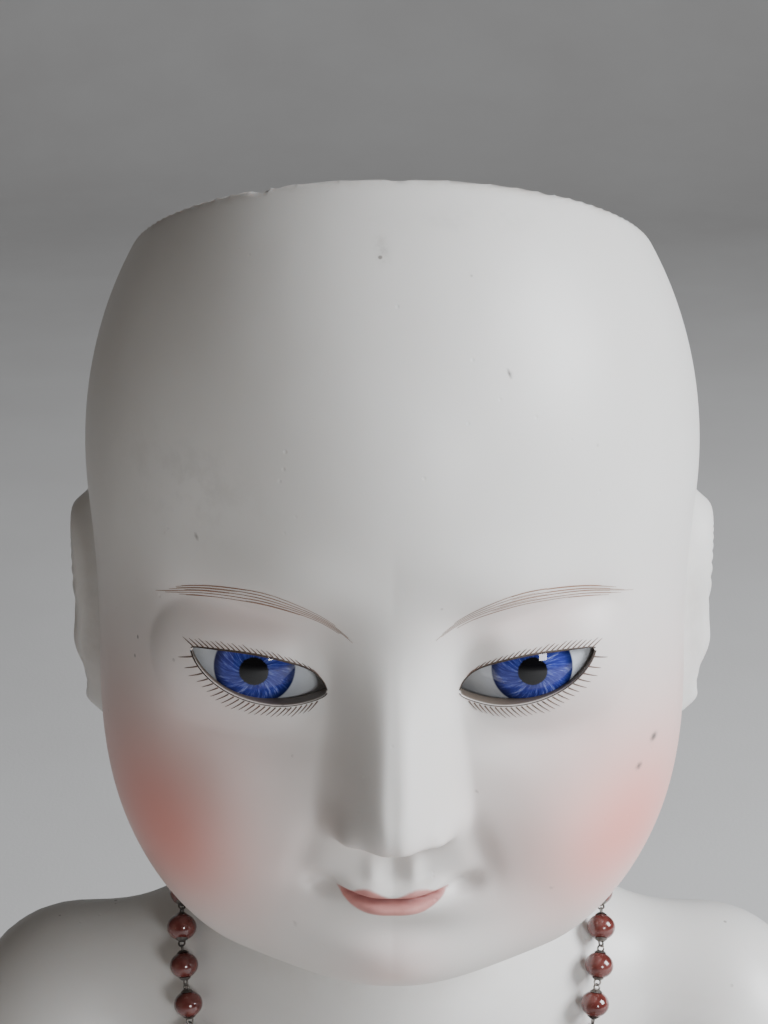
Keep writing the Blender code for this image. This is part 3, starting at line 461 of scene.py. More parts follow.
def bisque(name, painted):
    """Unglazed porcelain: a fine matt skin with pits, kiln specks and handling marks."""
    n = Nodes(name)
    place = n.position()
    cloud = n.noise(place, 28, 4)
    colour = n.ramp(cloud, (0.3, (0.68, 0.66, 0.63)), (0.7, (0.755, 0.74, 0.715)))
    specks = n.cells(place, 330)
    chosen = n.noise(place, 95, 2)
    speck = n.times(n.between(specks, 0.10, 0.05), n.between(chosen, 0.60, 0.66))
    if painted:
        warm = n.attribute("blush")
        colour = n.mix(warm, colour, (0.80, 0.31, 0.26))
        soft = n.noise(place, 900, 2)
        worn = n.math("ADD", n.attribute("lip_edge"), n.times(n.minus(soft, 0.5), 0.25))
        lips = n.between(worn, 0.22, -0.2)
        thin = n.between(n.noise(place, 420, 3), 0.3, 0.75)
        lip_colour = n.mix(thin, (0.46, 0.14, 0.125), (0.60, 0.215, 0.185))
        colour = n.mix(n.times(lips, 0.86), colour, lip_colour)
        colour = n.mix(n.times(n.attribute("lip_part"), 0.8), colour, (0.20, 0.035, 0.03))
        colour = n.mix(n.times(n.attribute("inner_dot"), 0.8), colour, (0.55, 0.16, 0.13))
        # Dark brown on the eye openings' inner walls: partly wax on the cut, partly painted shade in the
        # recess.
        colour = n.mix(n.times(n.attribute("lid_wall_wax_and_shade"), 0.9), colour, (0.085, 0.055, 0.032))
        smudge = n.times(n.attribute("scuff"), n.between(n.noise(place, 260, 5, 0.7), 0.42, 0.7))
        colour = n.mix(n.times(smudge, 0.5), colour, (0.30, 0.28, 0.26))
        colour = n.mix(n.attribute("mark"), colour, (0.11, 0.09, 0.08))
    # Darker brown broken up by noise: soiling on the crown's cut edge, darkening along the plate's edges, and
    # painted shade around the ears, down the neck and in the plate's cup.
    dirt_and_shade = n.times(n.attribute("grime_and_shade"), n.between(n.noise(place, 160, 5, 0.65), 0.3, 0.75))
    colour = n.mix(n.times(dirt_and_shade, 0.55), colour, (0.30, 0.25, 0.20))
    colour = n.mix(n.times(speck, 0.75), colour, (0.16, 0.13, 0.11))
    fine = n.noise(place, 1500, 2)
    pits = n.between(n.cells(place, 520), 0.16, 0.02)
    some = n.between(n.noise(place, 130, 2), 0.56, 0.64)
    pit = n.times(pits, some)
    height = n.minus(n.times(fine, 0.16), pit)
    wave = n.noise(place, 60, 2)
    rough = n.between(cloud, 0.25, 0.8, 0.50, 0.40)
    bent = n.bump(height, 0.00007, 0.55, n.bump(wave, 0.0004, 0.35))
    n.set(Base_Color=colour, Roughness=rough, Normal=bent)
    n.set(Subsurface_Weight=0.12, Subsurface_Radius=(1.0, 0.6, 0.45), Subsurface_Scale=1.2 * MM)
    return n.set(Coat_Weight=0.12, Coat_Roughness=0.32)


def eye_glass():
    """A blown eye: milky white, an iris of pale threads drawn in cobalt, and a black pupil."""
    n = Nodes("eye_glass_threads")
    place = n.position()
    split = n.node("SeparateXYZ")
    n.wire(place, split.inputs[0])
    x, z = split.outputs["X"], split.outputs["Z"]
    radius = n.math("SQRT", n.math("ADD", n.times(x, x), n.times(z, z)))
    r = n.math("DIVIDE", radius, IRIS_RADIUS * MM)
    twist = n.math("ADD", n.math("ARCTAN2", z, x), n.times(r, 0.5))
    combine = n.node("CombineXYZ")
    n.wire(n.math("COSINE", twist), combine.inputs[0])
    n.wire(n.math("SINE", twist), combine.inputs[1])
    n.wire(n.times(r, 0.22), combine.inputs[2])
    threads = n.noise(combine.outputs[0], 9.0, 4, 0.6)
    fine = n.noise(combine.outputs[0], 26.0, 2, 0.6)
    weave = n.math("ADD", n.times(threads, 0.65), n.times(fine, 0.35))
    deep, mid = (0.34, (0.018, 0.022, 0.16)), (0.50, (0.032, 0.043, 0.27))
    light, pale = (0.58, (0.085, 0.115, 0.43)), (0.67, (0.33, 0.38, 0.66))
    blue = n.ramp(weave, deep, mid, light, pale)
    rim = n.between(r, 0.74, 0.98)
    blue = n.mix(n.times(rim, 0.88), blue, (0.004, 0.008, 0.055))
    inner = n.between(r, 0.52, 0.36)
    blue = n.mix(n.times(inner, 0.45), blue, (0.01, 0.02, 0.12))
    uneven = n.math("ADD", r, n.times(n.minus(threads, 0.5), 0.05))
    iris = n.mix(n.between(uneven, 0.385, 0.345), blue, (0.002, 0.002, 0.003))
    milk = n.noise(place, 260, 3)
    white = n.ramp(milk, (0.3, (0.53, 0.55, 0.57)), (0.7, (0.62, 0.64, 0.66)))
    shade = n.between(r, 1.02, 1.5, 0.35, 0.0)
    white = n.mix(shade, white, (0.30, 0.33, 0.42))
    edge = n.between(r, 0.985, 1.03)
    colour = n.mix(edge, iris, white)
    n.set(Base_Color=colour, Roughness=0.3, Specular_IOR_Level=0.0)
    return n.set(Coat_Weight=1.0, Coat_Roughness=0.02, Coat_IOR=1.52)


def plain(name, colours, scale, rough, metallic=0.0, bump_depth=0.00005, fine=900):
    """A material whose colour, gloss and surface vary with two sizes of noise."""
    n = Nodes(name)
    place = n.position()
    cloud = n.noise(place, scale, 4, 0.6)
    colour = n.ramp(cloud, (0.3, colours[0]), (0.7, colours[1]))
    surface = n.noise(place, fine, 3, 0.6)
    n.set(
        Base_Color=colour,
        Roughness=n.between(surface, 0.3, 0.7, rough[0], rough[1]),
        Normal=n.bump(surface, bump_depth, 0.6),
    )
    return n.set(Metallic=metallic)


def wood(name):
    """Waxed limewood: fine long grain, darker pores, and soil rubbed into it."""
    n = Nodes(name)
    place = n.position()
    rings = n.noise(n.stretch(place, (1, 1, 0.12)), 150, 3, 0.55, 0.6)
    band = n.between(n.math("FRACT", n.times(rings, 7.0)), 0.0, 0.9)
    colour = n.mix(n.times(band, 0.75), (0.50, 0.335, 0.190), (0.33, 0.195, 0.098))
    pores = n.noise(n.stretch(place, (1, 1, 0.042)), 1500, 2)
    colour = n.mix(n.between(pores, 0.60, 0.72, 0, 0.6), colour, (0.17, 0.09, 0.045))
    cloud = n.noise(place, 42, 4)
    colour = n.mix(n.between(cloud, 0.50, 0.75, 0, 0.45), colour, (0.22, 0.13, 0.075))
    height = n.minus(n.times(band, 0.5), n.between(pores, 0.58, 0.7))
    n.set(
        Base_Color=colour,
        Roughness=n.between(cloud, 0.3, 0.7, 0.36, 0.56),
        Normal=n.bump(height, 0.00008, 0.5),
    )
    return n.set(Coat_Weight=0.18, Coat_Roughness=0.3)


def bead_glass():
    n = Nodes("bead_glass_red")
    place = n.position()
    cloud = n.noise(place, 520, 3)
    colour = n.ramp(cloud, (0.3, (0.085, 0.016, 0.013)), (0.7, (0.17, 0.045, 0.038)))
    worn = n.between(n.noise(place, 1600, 3), 0.62, 0.72, 0, 0.5)
    colour = n.mix(worn, colour, (0.30, 0.12, 0.11))
    n.set(Base_Color=colour, Roughness=n.between(cloud, 0.3, 0.7, 0.10, 0.28))
    return n.set(Coat_Weight=0.6, Coat_Roughness=0.08)


HEAD_BISQUE = bisque("bisque_painted", True)
PLATE_BISQUE = bisque("bisque_plain", False)
EYE = eye_glass()
WOOD = wood("limewood")
CHALK = (0.62, 0.60, 0.55), (0.78, 0.76, 0.71)
TAN = (0.50, 0.39, 0.28), (0.66, 0.55, 0.43)
PLASTER = plain("plaster_rough", CHALK, 90, (0.85, 0.98), 0, 0.0004, 500)
IRON = plain("iron_dark", ((0.13, 0.12, 0.11), (0.26, 0.24, 0.22)), 160, (0.35, 0.6), 1.0, 0.00006)
BRASS = plain("brass_dull", ((0.34, 0.22, 0.08), (0.60, 0.44, 0.18)), 220, (0.25, 0.5), 1.0, 0.00004)
KID = plain("kid_leather_worn", TAN, 120, (0.6, 0.85), 0, 0.00022, 1100)
BEAD_GLASS = bead_glass()
LASH = plain("brown_paint", ((0.10, 0.065, 0.05), (0.17, 0.11, 0.085)), 700, (0.45, 0.6))
LINER = plain("liner_paint", ((0.030, 0.020, 0.016), (0.055, 0.034, 0.026)), 700, (0.4, 0.55))
BROW = plain("brow_paint", ((0.22, 0.115, 0.065), (0.33, 0.18, 0.11)), 900, (0.45, 0.6))


# ---------------------------------------------------------------- head

AROUND, DOWN = 460, 330
CROWN_WAY = Vector((0, CROWN_FALL, 1)).normalized()  # straight up from the crown's cut
CROWN_MIDDLE = Vector((0, 4, 39))
CROWN_LOWEST = 15
OUTER_SKIN = -1.9  # points deeper than this are on the wall's inside
FACE_FRONT = -20  # the y that the eye openings lie in front of
# Kiln specks on the face: x, z and radius.
SPECKS = (
    (30.0, -12.5, 0.35),
    (28.0, -14.6, 0.28),
    (-6.5, 24.0, 0.14),
    (-21, 15, 0.12),
    (12, 33, 0.13),
    (9, -13, 0.1),
    (18, -27, 0.13),
    (-11, -31, 0.14),
)


def head_grid(distance, count_around, count_down):
    around = np.linspace(-math.pi, math.pi, count_around, endpoint=False)
    down = np.linspace(0.001, math.pi - 0.001, count_down)
    grid_down, grid_around = np.meshgrid(down, around, indexing="ij")
    ways = gathered(grid_around.ravel(), grid_down.ravel())
    radius = surface_radius(distance, HEAD_CENTRE, ways, 95)
    return HEAD_CENTRE + ways * radius[:, None]


def grid_faces(count_around, count_down):
    row = np.arange(count_down - 1)[:, None] * count_around
    column = np.arange(count_around)[None, :]
    after = (column + 1) % count_around
    below = row + count_around
    return np.stack([row + column, row + after, below + after, below + column], axis=-1).reshape(-1, 4)


def snap_to_zero(points, field):
    """Moves points along the x-z slope of a field until it is 0 there."""
    for _ in range(4):
        slope = np.zeros(points.shape)
        for axis in (0, 2):
            shift = np.eye(3)[axis] * 0.02
            slope[:, axis] = (field(points + shift) - field(points - shift)) / 0.04
        size = np.maximum((slope**2).sum(1), 1e-6)
        points = points - slope * np.clip(field(points) / size, -0.4, 0.4)[:, None]
    return points


def lip_field(points):
    """Below 0 on the painted lips, in mm from their outline."""
    x, z = np.abs(points[:, 0]), points[:, 2]
    line = mouth_line(x)
    taper = np.clip(1 - np.clip(x / 6.2, 0, 1.2) ** 2.4, 0, 1)
    top = line + taper * (0.75 + 0.95 * bump(x, 3.2, 1.9) - 0.25 * bump(x, 0, 0.9))
    low = line - taper**0.8 * 2.0
    return np.maximum(np.maximum(z - top, low - z), x - 6.2)


def crown_chips(points):
    """How deep the small chips along the front of the crown's edge are, in mm."""
    chips = ((-14.5, 0.5), (-12.9, 0.3), (0.4, 0.35), (17, 0.2))
    return sum(size * bump(points[:, 0], x, 0.8) for x, size in chips) * (points[:, 1] < 0)


def open_skin():
    """Points and faces of the head's outside, open at the eyes and at the crown."""
    outer = shaped(head_grid(head_distance, AROUND, DOWN))
    faces = grid_faces(AROUND, DOWN)
    above = crown_height(outer)
    in_eye = (almond(outer) < 0) & (outer[:, 1] < FACE_FRONT)
    removed = in_eye | (above > 0)
    faces = faces[~removed[faces].all(axis=1)]
    used = np.zeros(len(outer), bool)
    used[faces.ravel()] = True

    rim = used & in_eye
    edge = snap_to_zero(outer[rim], almond)
    edge[:, 1] = face_y(edge[:, 0], edge[:, 2])
    outer[rim] = edge
    cut = used & (above > 0) & ~in_eye
    height = above[cut] + crown_chips(outer[cut])
    outer[cut] -= np.array(CROWN_WAY) * height[:, None]

    index = -np.ones(len(outer), int)
    index[used] = np.arange(used.sum())
    return outer[used], index[faces]


def extruded(bm, edges):
    """Grows a strip from open edges; gives its new vertices and its new open edges."""
    grown = bmesh.ops.extrude_edge_only(bm, edges=edges)["geom"]
    verts = [g for g in grown if isinstance(g, bmesh.types.BMVert)]
    return verts, [g for g in grown if isinstance(g, bmesh.types.BMEdge) and g.is_boundary]


def turn_in_lids(bm, edges):
    """Carries the eye openings' edges back into the wall, with a rounded lip."""
    for inward, back in ((0.10, 0.22), (-0.06, 0.55), (-0.06, 1.2)):
        verts, edges = extruded(bm, edges)
        for vert in verts:
            centre = Vector((math.copysign(EYE_IN_HEAD[0] * MM, vert.co.x), vert.co.y, 0))
            vert.co += (centre - vert.co).normalized() * inward * MM
            vert.co.y += back * MM


def turn_in_crown(bm, edges):
    """Carries the crown's edge across the wall and down the inside of the head."""
    for inward, rise in ((0.35, -0.25), (0.0, 0.0), (2.4, 0.0), (0.35, -0.3)):
        verts, edges = extruded(bm, edges)
        for vert in verts:
            toward = CROWN_MIDDLE * MM - vert.co
            toward -= CROWN_WAY * toward.dot(CROWN_WAY)
            vert.co += (toward.normalized() * inward + CROWN_WAY * rise) * MM
    for _ in range(9):
        verts, edges = extruded(bm, edges)
        lows = np.array([tuple(v.co / MM) for v in verts])
        lows[:, 2] -= 6.5
        away = lows - HEAD_CENTRE
        ways = away / np.linalg.norm(away, axis=1, keepdims=True)
        radius = surface_radius(skull_distance, HEAD_CENTRE, ways, 95) - HEAD_WALL
        for vert, place in zip(verts, HEAD_CENTRE + ways * radius[:, None]):
            vert.co = Vector(place) * MM


def make_head():
    verts, faces = open_skin()
    obj = mesh_object("bisque_head", verts * MM, faces, origin=HEAD)
    bm = bmesh.new()
    bm.from_mesh(obj.data)
    bmesh.ops.recalc_face_normals(bm, faces=bm.faces)
    rims = [(edge, edge.verts[0].co / MM) for edge in bm.edges if edge.is_boundary]
    turn_in_lids(bm, [edge for edge, at in rims if at.z < CROWN_LOWEST and at.y < FACE_FRONT])
    turn_in_crown(bm, [edge for edge, at in rims if at.z >= CROWN_LOWEST])
    bmesh.ops.recalc_face_normals(bm, faces=bm.faces)
    bm.to_mesh(obj.data)
    bm.free()
    obj.data.shade_smooth()
    paint_head(obj)
    finish(obj, HEAD_BISQUE, "head", "head")


def paint_head(obj):
    """Where the paint, the soiling with painted shade, and the marks lie, as one attribute for each."""
    points = np.array([tuple(v.co) for v in obj.data.vertices]) / MM
    x, z = points[:, 0], points[:, 2]
    ax = np.abs(x)
    front = step(-points[:, 1], 0, 14) * (head_distance(points) > OUTER_SKIN)
    facing = front > 0.5

    cheeks = 0.86 * bump(ax, 27, 11) * bump(z, -23, 12) + 0.2 * bump(ax, 24, 14) * bump(z, -12, 14)
    lids = 0.16 * bump(ax, 15, 8) * bump(z, 6.5, 3.2)
    tip = 0.10 * bump(ax, 0, 4) * bump(z, -18, 3)
    chin = 0.22 * bump(ax, 0, 6) * bump(z, -36, 4.5)
    add_attribute(obj, "blush", np.clip((cheeks + lids + tip + chin) * front, 0, 1))

    add_attribute(obj, "lip_edge", np.where(facing, lip_field(points), 9.0))
    part = bump(z, mouth_line(ax), 0.28) * (1 - step(ax, 4.6, 6.4)) * facing
    add_attribute(obj, "lip_part", part)
    corner = bump(ax, 8.6, 0.5) * bump(z, -0.1, 0.55)
    nostril = 0.9 * bump(ax, 2.4, 0.8) * bump(z, -18.9, 0.5)
    add_attribute(obj, "inner_dot", np.clip((corner + nostril) * facing, 0, 1))
    # The inner walls of the eye openings, darkened: partly wax on the cut, partly painted shade in the
    # recess.
    inside = (almond(points) < 0.35) & (points[:, 1] < FACE_FRONT)
    add_attribute(obj, "lid_wall_wax_and_shade", (inside & (points[:, 1] > face_y(x, z) + 0.14)).astype(float))

    smear = 1.1 * bump(x + 0.35 * (z - 44.5), -1.1, 0.8) * bump(z, 44.5, 1.9)
    rubbed = 0.3 * bump(x, 9, 9) * bump(z, 47, 1.2) + 0.4 * bump(x, -22, 7) * bump(z, 20, 5)
    add_attribute(obj, "scuff", (smear + rubbed) * front)
    mark = np.zeros(len(points))
    for at_x, at_z, size in SPECKS:
        mark = np.maximum(mark, bump(x, at_x, size) * bump(z, at_z, size) * (front > 0.2))
    add_attribute(obj, "mark", np.clip(mark * 1.6, 0, 1))

    # Soiling along the crown's cut edge, and painted shade around the ears and down the neck below the chin.
    edge = 0.9 * bump(crown_height(points), 0, 0.9)
    behind_ear = 0.5 * bump(ax, 37, 3) * bump(z, -8, 12)
    low = 0.8 * (1 - step(z, -50, -36))
    add_attribute(obj, "grime_and_shade", np.clip(edge + behind_ear + low, 0, 1))


def face_y(xs, zs):
    """The y of the finished face at each (x, z), in mm about the head's origin."""
    xs, zs = np.asarray(xs, float), np.asarray(zs, float)
    low, high = np.full(len(xs), -60.0), np.full(len(xs), 0.0)
    for _ in range(26):
        middle = (low + high) / 2
        inside = head_distance(np.stack([xs, middle, zs], axis=1)) < 0
        high = np.where(inside, middle, high)
        low = np.where(inside, low, middle)
    return shaped(np.stack([xs, (low + high) / 2, zs], axis=1))[:, 1]


def stroke(path, widths, lift=0.02):
    """Vertices and faces of one brush stroke laid on the face. The path is (x, z) pairs."""
    path = np.asarray(path, float)
    widths = np.asarray(widths, float)
    ahead = np.gradient(path, axis=0)
    ahead /= np.maximum(np.linalg.norm(ahead, axis=1, keepdims=True), 1e-9)
    across = np.stack([-ahead[:, 1], ahead[:, 0]], axis=1)
    rows = []
    for share, rise in ((-0.5, 0.0), (-0.2, 1.0), (0.2, 1.0), (0.5, 0.0)):
        flat = path + across * widths[:, None] * share
        y = face_y(flat[:, 0], flat[:, 1]) - lift * rise - 0.03
        rows.append(np.stack([flat[:, 0], y, flat[:, 1]], axis=1))
    verts = np.stack(rows, axis=1).reshape(-1, 3)
    starts = [4 * i + k for i in range(len(path) - 1) for k in range(3)]
    return verts, [(a, a + 1, a + 5, a + 4) for a in starts]


def paint_piece(name, strokes, material):
    verts, faces = [], []
    for points, quads in strokes:
        start = sum(len(v) for v in verts)
        verts.append(points)
        faces.extend(tuple(v + start for v in quad) for quad in quads)
    obj = mesh_object(name, np.concatenate(verts) * MM, faces, origin=HEAD)
    use(obj, material)
    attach(obj, "head")


def lid_edge(side, share, upper):
    """A point on the opening's edge; share runs 0 to 1 from the inner to the outer corner."""
    u = (np.asarray(share, float) * 2 - 1) * 0.998
    heights = lid_heights(u)
    return side * (EYE_MIDDLE + u * EYE_HALF_WIDTH), heights[0 if upper else 1]


def hair(x, z, side, lean, length, width):
    """One painted lash from the lid's edge, bending outwards as it thins."""
    t = np.linspace(0, 1, 7)
    xs = x + side * length * (math.sin(lean) * t + 0.12 * t * t)
    zs = z + length * math.cos(lean) * t
    return stroke(np.stack([xs, zs], 1), width * (1 - t) ** 0.6 + 0.03)


def make_lashes(side, word):
    """The painted lashes of both lids, and the dark line along each lid's edge."""
    strokes = []
    for share in np.linspace(0.06, 0.98, 24):
        x, z = lid_edge(side, share, True)
        length = (0.95 + 0.35 * share) * RANDOM.uniform(0.85, 1.12)
        strokes.append(hair(x, z + 0.1, side, 0.55 + 0.45 * share, length, 0.13))
    for share in np.linspace(0.07, 0.99, 25):
        x, z = lid_edge(side, share, False)
        length = (1.35 + 0.35 * math.sin(math.pi * share)) * RANDOM.uniform(0.85, 1.12)
        lean = math.pi - 0.62 - 0.62 * share**2.5
        strokes.append(hair(x, z - 0.22, side, lean, length, 0.145))
    paint_piece(f"painted_lashes_{word}", strokes, LASH)

    shares = np.linspace(0.0, 1.0, 60)
    liner = []
    for upper, shift in ((True, 0.07), (False, -0.06)):
        x, z = lid_edge(side, shares, upper)
        widths = 0.13 + 0.12 * np.sin(np.pi * shares) if upper else 0.10 + 0.10 * shares**2
        liner.append(stroke(np.stack([x, z + shift], 1), widths))
    paint_piece(f"painted_liner_{word}", liner, LINER)


def brow_curve(t):
    """The brow's middle line: it climbs from its inner end and runs level to its outer one."""
    x = 3.6 + 23.6 * t
    climb = 4.9 * np.sin(np.pi / 2 * np.clip(t / 0.46, 0, 1)) ** 0.9
    fall = 3.3 * np.clip((t - 0.46) / 0.54, 0, 1) ** 1.7
    return x, 4.7 + climb - fall


def make_brow(side, word):
    """A few long strokes laid side by side, which part a little towards the outer end."""
    strokes = []
    for lane in (-1.0, -0.5, 0.0, 0.5, 1.0):
        inner = (0.09 * abs(lane), 0.55)
        middle = (0.30 + 0.05 * lane, 0.86)
        outer = (0.55 - 0.06 * lane, 0.99 - 0.1 * abs(lane))
        for begin, end in (inner, middle, outer):
            begin += RANDOM.uniform(0, 0.05)
            end -= RANDOM.uniform(0, 0.06)
            t = np.linspace(begin, end, 30)
            x, z = brow_curve(t)
            spread = 0.80 * np.sin(np.pi * np.clip(t * 0.9 + 0.04, 0, 1)) ** 0.8
            s = (t - begin) / (end - begin)
            z = z + lane * spread + RANDOM.uniform(-0.08, 0.08) + 0.10 * (s - 0.5)
            swell = np.sin(np.pi * np.clip(s * 0.94 + 0.03, 0, 1)) ** 0.6
            widths = (0.055 + 0.035 * RANDOM.random()) * swell
            strokes.append(stroke(np.stack([x * side, z], 1), widths + 0.015))
    paint_piece(f"painted_brow_{word}", strokes, BROW)


def make_eye(side, word):
    """The front of the blown eye, with the clear dome over its iris, and its open back."""
    count, rings = 120, 72
    verts = []
    iris = Vector((0.2 * side, 0, 0.5))
    radii = EYE_RADII + 0.25
    for r in range(rings + 1):
        down = (math.pi / 2 + 0.12) * r / rings
        for a in range(count):
            around = math.tau * a / count
            x = radii[0] * math.sin(down) * math.cos(around) - iris.x
            z = radii[2] * math.sin(down) * math.sin(around) - iris.z
            dome = max(0.0, 1 - (math.hypot(x, z) / DOME_RADIUS) ** 2)
            verts.append((x, -radii[1] * math.cos(down) - DOME_HEIGHT * dome**1.2, z))
    middle = Vector((side * EYE_IN_HEAD[0], *EYE_IN_HEAD[1:])) + iris
    faces = grid_faces(count, rings + 1)
    obj = mesh_object(f"glass_eye_{word}", np.array(verts) * MM, faces, origin=HEAD + middle * MM)
    bm = bmesh.new()
    bm.from_mesh(obj.data)
    bmesh.ops.remove_doubles(bm, verts=bm.verts, dist=1e-6)
    bmesh.ops.recalc_face_normals(bm, faces=bm.faces)
    bm.to_mesh(obj.data)
    bm.free()
    shell = obj.modifiers.new("wall", "SOLIDIFY")
    shell.thickness = 1.0 * MM
    shell.offset = -1
    apply_modifiers(obj)
    obj.data.shade_smooth()
    finish(obj, EYE, f"eye_{word}", "head")


make_head()
for eye_side, eye_word in ((1, "left"), (-1, "right")):
    make_eye(eye_side, eye_word)
    make_lashes(eye_side, eye_word)
    make_brow(eye_side, eye_word)

# ---------------------------------------------------------------- carving, in mm


CUT, JOIN = "DIFFERENCE", "UNION"
SHORT_SPAN = 2.8


def cut_object(bm, name, matrix=None):
    """An object of a solid drawn in mm, with its faces turned outwards."""
    bmesh.ops.scale(bm, vec=(MM, MM, MM), verts=bm.verts)
    bmesh.ops.recalc_face_normals(bm, faces=bm.faces)
    mesh = bpy.data.meshes.new(name)
    bm.to_mesh(mesh)
    bm.free()
    obj = link(bpy.data.objects.new(name, mesh))
    if matrix is not None:
        obj.matrix_world = matrix
    return obj


def solid_ball(radii, centre=(0, 0, 0), segments=48, rings=32):
    radii = Vector(radii if isinstance(radii, tuple) else (radii, radii, radii))
    bm = bmesh.new()
    bmesh.ops.create_uvsphere(bm, u_segments=segments, v_segments=rings, radius=1.0)
    for vert in bm.verts:
        vert.co = Vector(v * r for v, r in zip(vert.co, radii)) + Vector(centre)
    return bm


def solid_box(low, high):
    bm = bmesh.new()
    bmesh.ops.create_cube(bm, size=1.0)
    low, high = Vector(low), Vector(high)
    for vert in bm.verts:
        vert.co = Vector((low[i] if vert.co[i] < 0 else high[i]) for i in range(3))
    return bm


def solid_rod(radius, start, end, segments=32, end_radius=None):
    start, end = Vector(start), Vector(end)
    bm = bmesh.new()
    way = end - start
    bmesh.ops.create_cone(
        bm, cap_ends=True, segments=segments, radius1=radius,
        radius2=radius if end_radius is None else end_radius, depth=way.length,
    )
    turn = Vector((0, 0, 1)).rotation_difference(way.normalized()).to_matrix().to_4x4()
    bmesh.ops.transform(bm, matrix=Matrix.Translation((start + end) / 2) @ turn, verts=bm.verts)
    return bm


def curve_between(p0, p1, p2, p3, t):
    """A point from p1 to p2 on the smooth curve through four points, with t from 0 to 1."""
    bend = 2 * p1 + (p2 - p0) * t + (2 * p0 - 5 * p1 + 4 * p2 - p3) * t * t
    return 0.5 * (bend + (3 * p1 - p0 - 3 * p2 + p3) * t**3)


def smoothed(profile, per=6):
    """A soft curve through (radius, height) points, straight between points that are close."""
    points = [Vector(p) for p in profile]
    out = []
    for i in range(len(points) - 1):
        p0, p1 = points[max(i - 1, 0)], points[i]
        p2, p3 = points[i + 1], points[min(i + 2, len(points) - 1)]
        near = (p2 - p1).length
        for j in range(per):
            t = j / per
            spot = curve_between(p0, p1, p2, p3, t) if near > SHORT_SPAN else p1.lerp(p2, t)
            out.append((max(spot.x, 0), spot.y))
    out.append(tuple(points[-1]))
    return out


def solid_turned(profile, segments=56):
    """A solid turned about z from (radius, height) points."""
    bm = bmesh.new()
    rows = []
    for radius, height in profile:
        if radius < 1e-3:
            rows.append([bm.verts.new((0, 0, height))])
            continue
        ring = []
        for i in range(segments):
            angle = 2 * math.pi * i / segments
            ring.append(bm.verts.new((radius * math.cos(angle), radius * math.sin(angle), height)))
        rows.append(ring)
    for a, b in zip(rows, rows[1:]):
        for i in range(segments):
            j = (i + 1) % segments
            corners = [a[i % len(a)], a[j % len(a)], b[j % len(b)], b[i % len(b)]]
            unique = list(dict.fromkeys(corners))
            if len(unique) > 2:
                bm.faces.new(unique)
    return bm


def soft_shade(obj, angle=32):
    bm = bmesh.new()
    bm.from_mesh(obj.data)
    for face in bm.faces:
        face.smooth = True
    for edge in bm.edges:
        edge.smooth = edge.is_manifold and edge.calc_face_angle(0) < math.radians(angle)
    bm.to_mesh(obj.data)
    bm.free()


def carve(name, base, matrix, steps, melt=None):
    """One piece: a base solid with others joined to it or cut from it, each given as (JOIN or CUT, solid)."""
    obj = cut_object(base, name, matrix)
    tools = []
    for operation, bm in steps:
        tool = cut_object(bm, name + "_tool", matrix)
        tools.append(tool)
        modifier = obj.modifiers.new(tool.name, "BOOLEAN")
        modifier.operation = operation
        modifier.solver = "EXACT"
        modifier.object = tool
    if melt:
        remesh = obj.modifiers.new("melt", "REMESH")
        remesh.mode = "VOXEL"
        remesh.voxel_size = melt * MM
        soften = obj.modifiers.new("soften", "SMOOTH")
        soften.factor = 0.5
        soften.iterations = 5
    apply_modifiers(obj)
    for tool in tools:
        bpy.data.objects.remove(tool)
    if melt:
        obj.data.transform(matrix)
        obj.matrix_world = STILL
        obj.data.shade_smooth()
    else:
        soft_shade(obj)
    return obj


def dense_skin(distance, centre, inset=0.0, segments=150, rings=96):
    """A fine mesh on the surface of a form, set in from it by `inset`."""
    bm = bmesh.new()
    bmesh.ops.create_uvsphere(bm, u_segments=segments, v_segments=rings, radius=1.0)
    ways = np.array([tuple(v.co.normalized()) for v in bm.verts])
    radius = surface_radius(distance, centre, ways, 120) - inset
    for vert, spot in zip(bm.verts, (centre + ways * radius[:, None])):
        vert.co = spot
    bmesh.ops.triangulate(bm, faces=bm.faces, quad_method="FIXED")
    return bm


def slab(outline, start, end):
    """An outline in y and z carried along x."""
    bm = bmesh.new()
    ring = [bm.verts.new((start, p.y, p.z)) for p in outline]
    face = bm.faces.new(ring)
    grown = bmesh.ops.extrude_face_region(bm, geom=[face])["geom"]
    verts = [g for g in grown if isinstance(g, bmesh.types.BMVert)]
    bmesh.ops.translate(bm, vec=Vector((end - start, 0, 0)), verts=verts)
    return bm


def armhole(side, radius, inner, count=48):
    """The room for an arm: round about the shoulder, and straight down from there."""
    outline = [Vector((0, SHOULDER.y + radius, 90))]
    for i in range(count + 1):
        angle = math.pi * i / count
        outline.append(SHOULDER + Vector((0, math.cos(angle), math.sin(angle))) * radius)
    outline.append(Vector((0, SHOULDER.y - radius, 90)))
    return slab(outline, inner * side, 95 * side)


# ---------------------------------------------------------------- shoulder plate and trunk

FAR = 180
GAP = 0.4
PLATE_WALL = 3.0
CUP_WALL = 3.0
CUP = NECK_RADIUS + 2 * GAP + 0.8
WAIST_BALL = 14.0
HIP_BALL = 15.5
HIP_WEB = 3.4
PIN = 1.2
LEG_PIN = 1.5
STILL = Matrix.Identity(4)


def mirrored(vector, side):
    return Vector((vector.x * side, vector.y, vector.z))


def layer(low, high):
    """All the room between two heights."""
    return solid_box((-FAR, -FAR, low), (FAR, FAR, high))


def wooden(node, base, matrix, steps, body=None, detail="", melt=None):
    """A carved piece of the node's look; `detail` tells apart two pieces of one node."""
    name, _, word = node.rpartition("_")
    piece = f"wooden_{name}{detail}_{word}" if detail else f"wooden_{node}"
    return finish(carve(piece, base, matrix, steps, melt), WOOD, node, body or node)


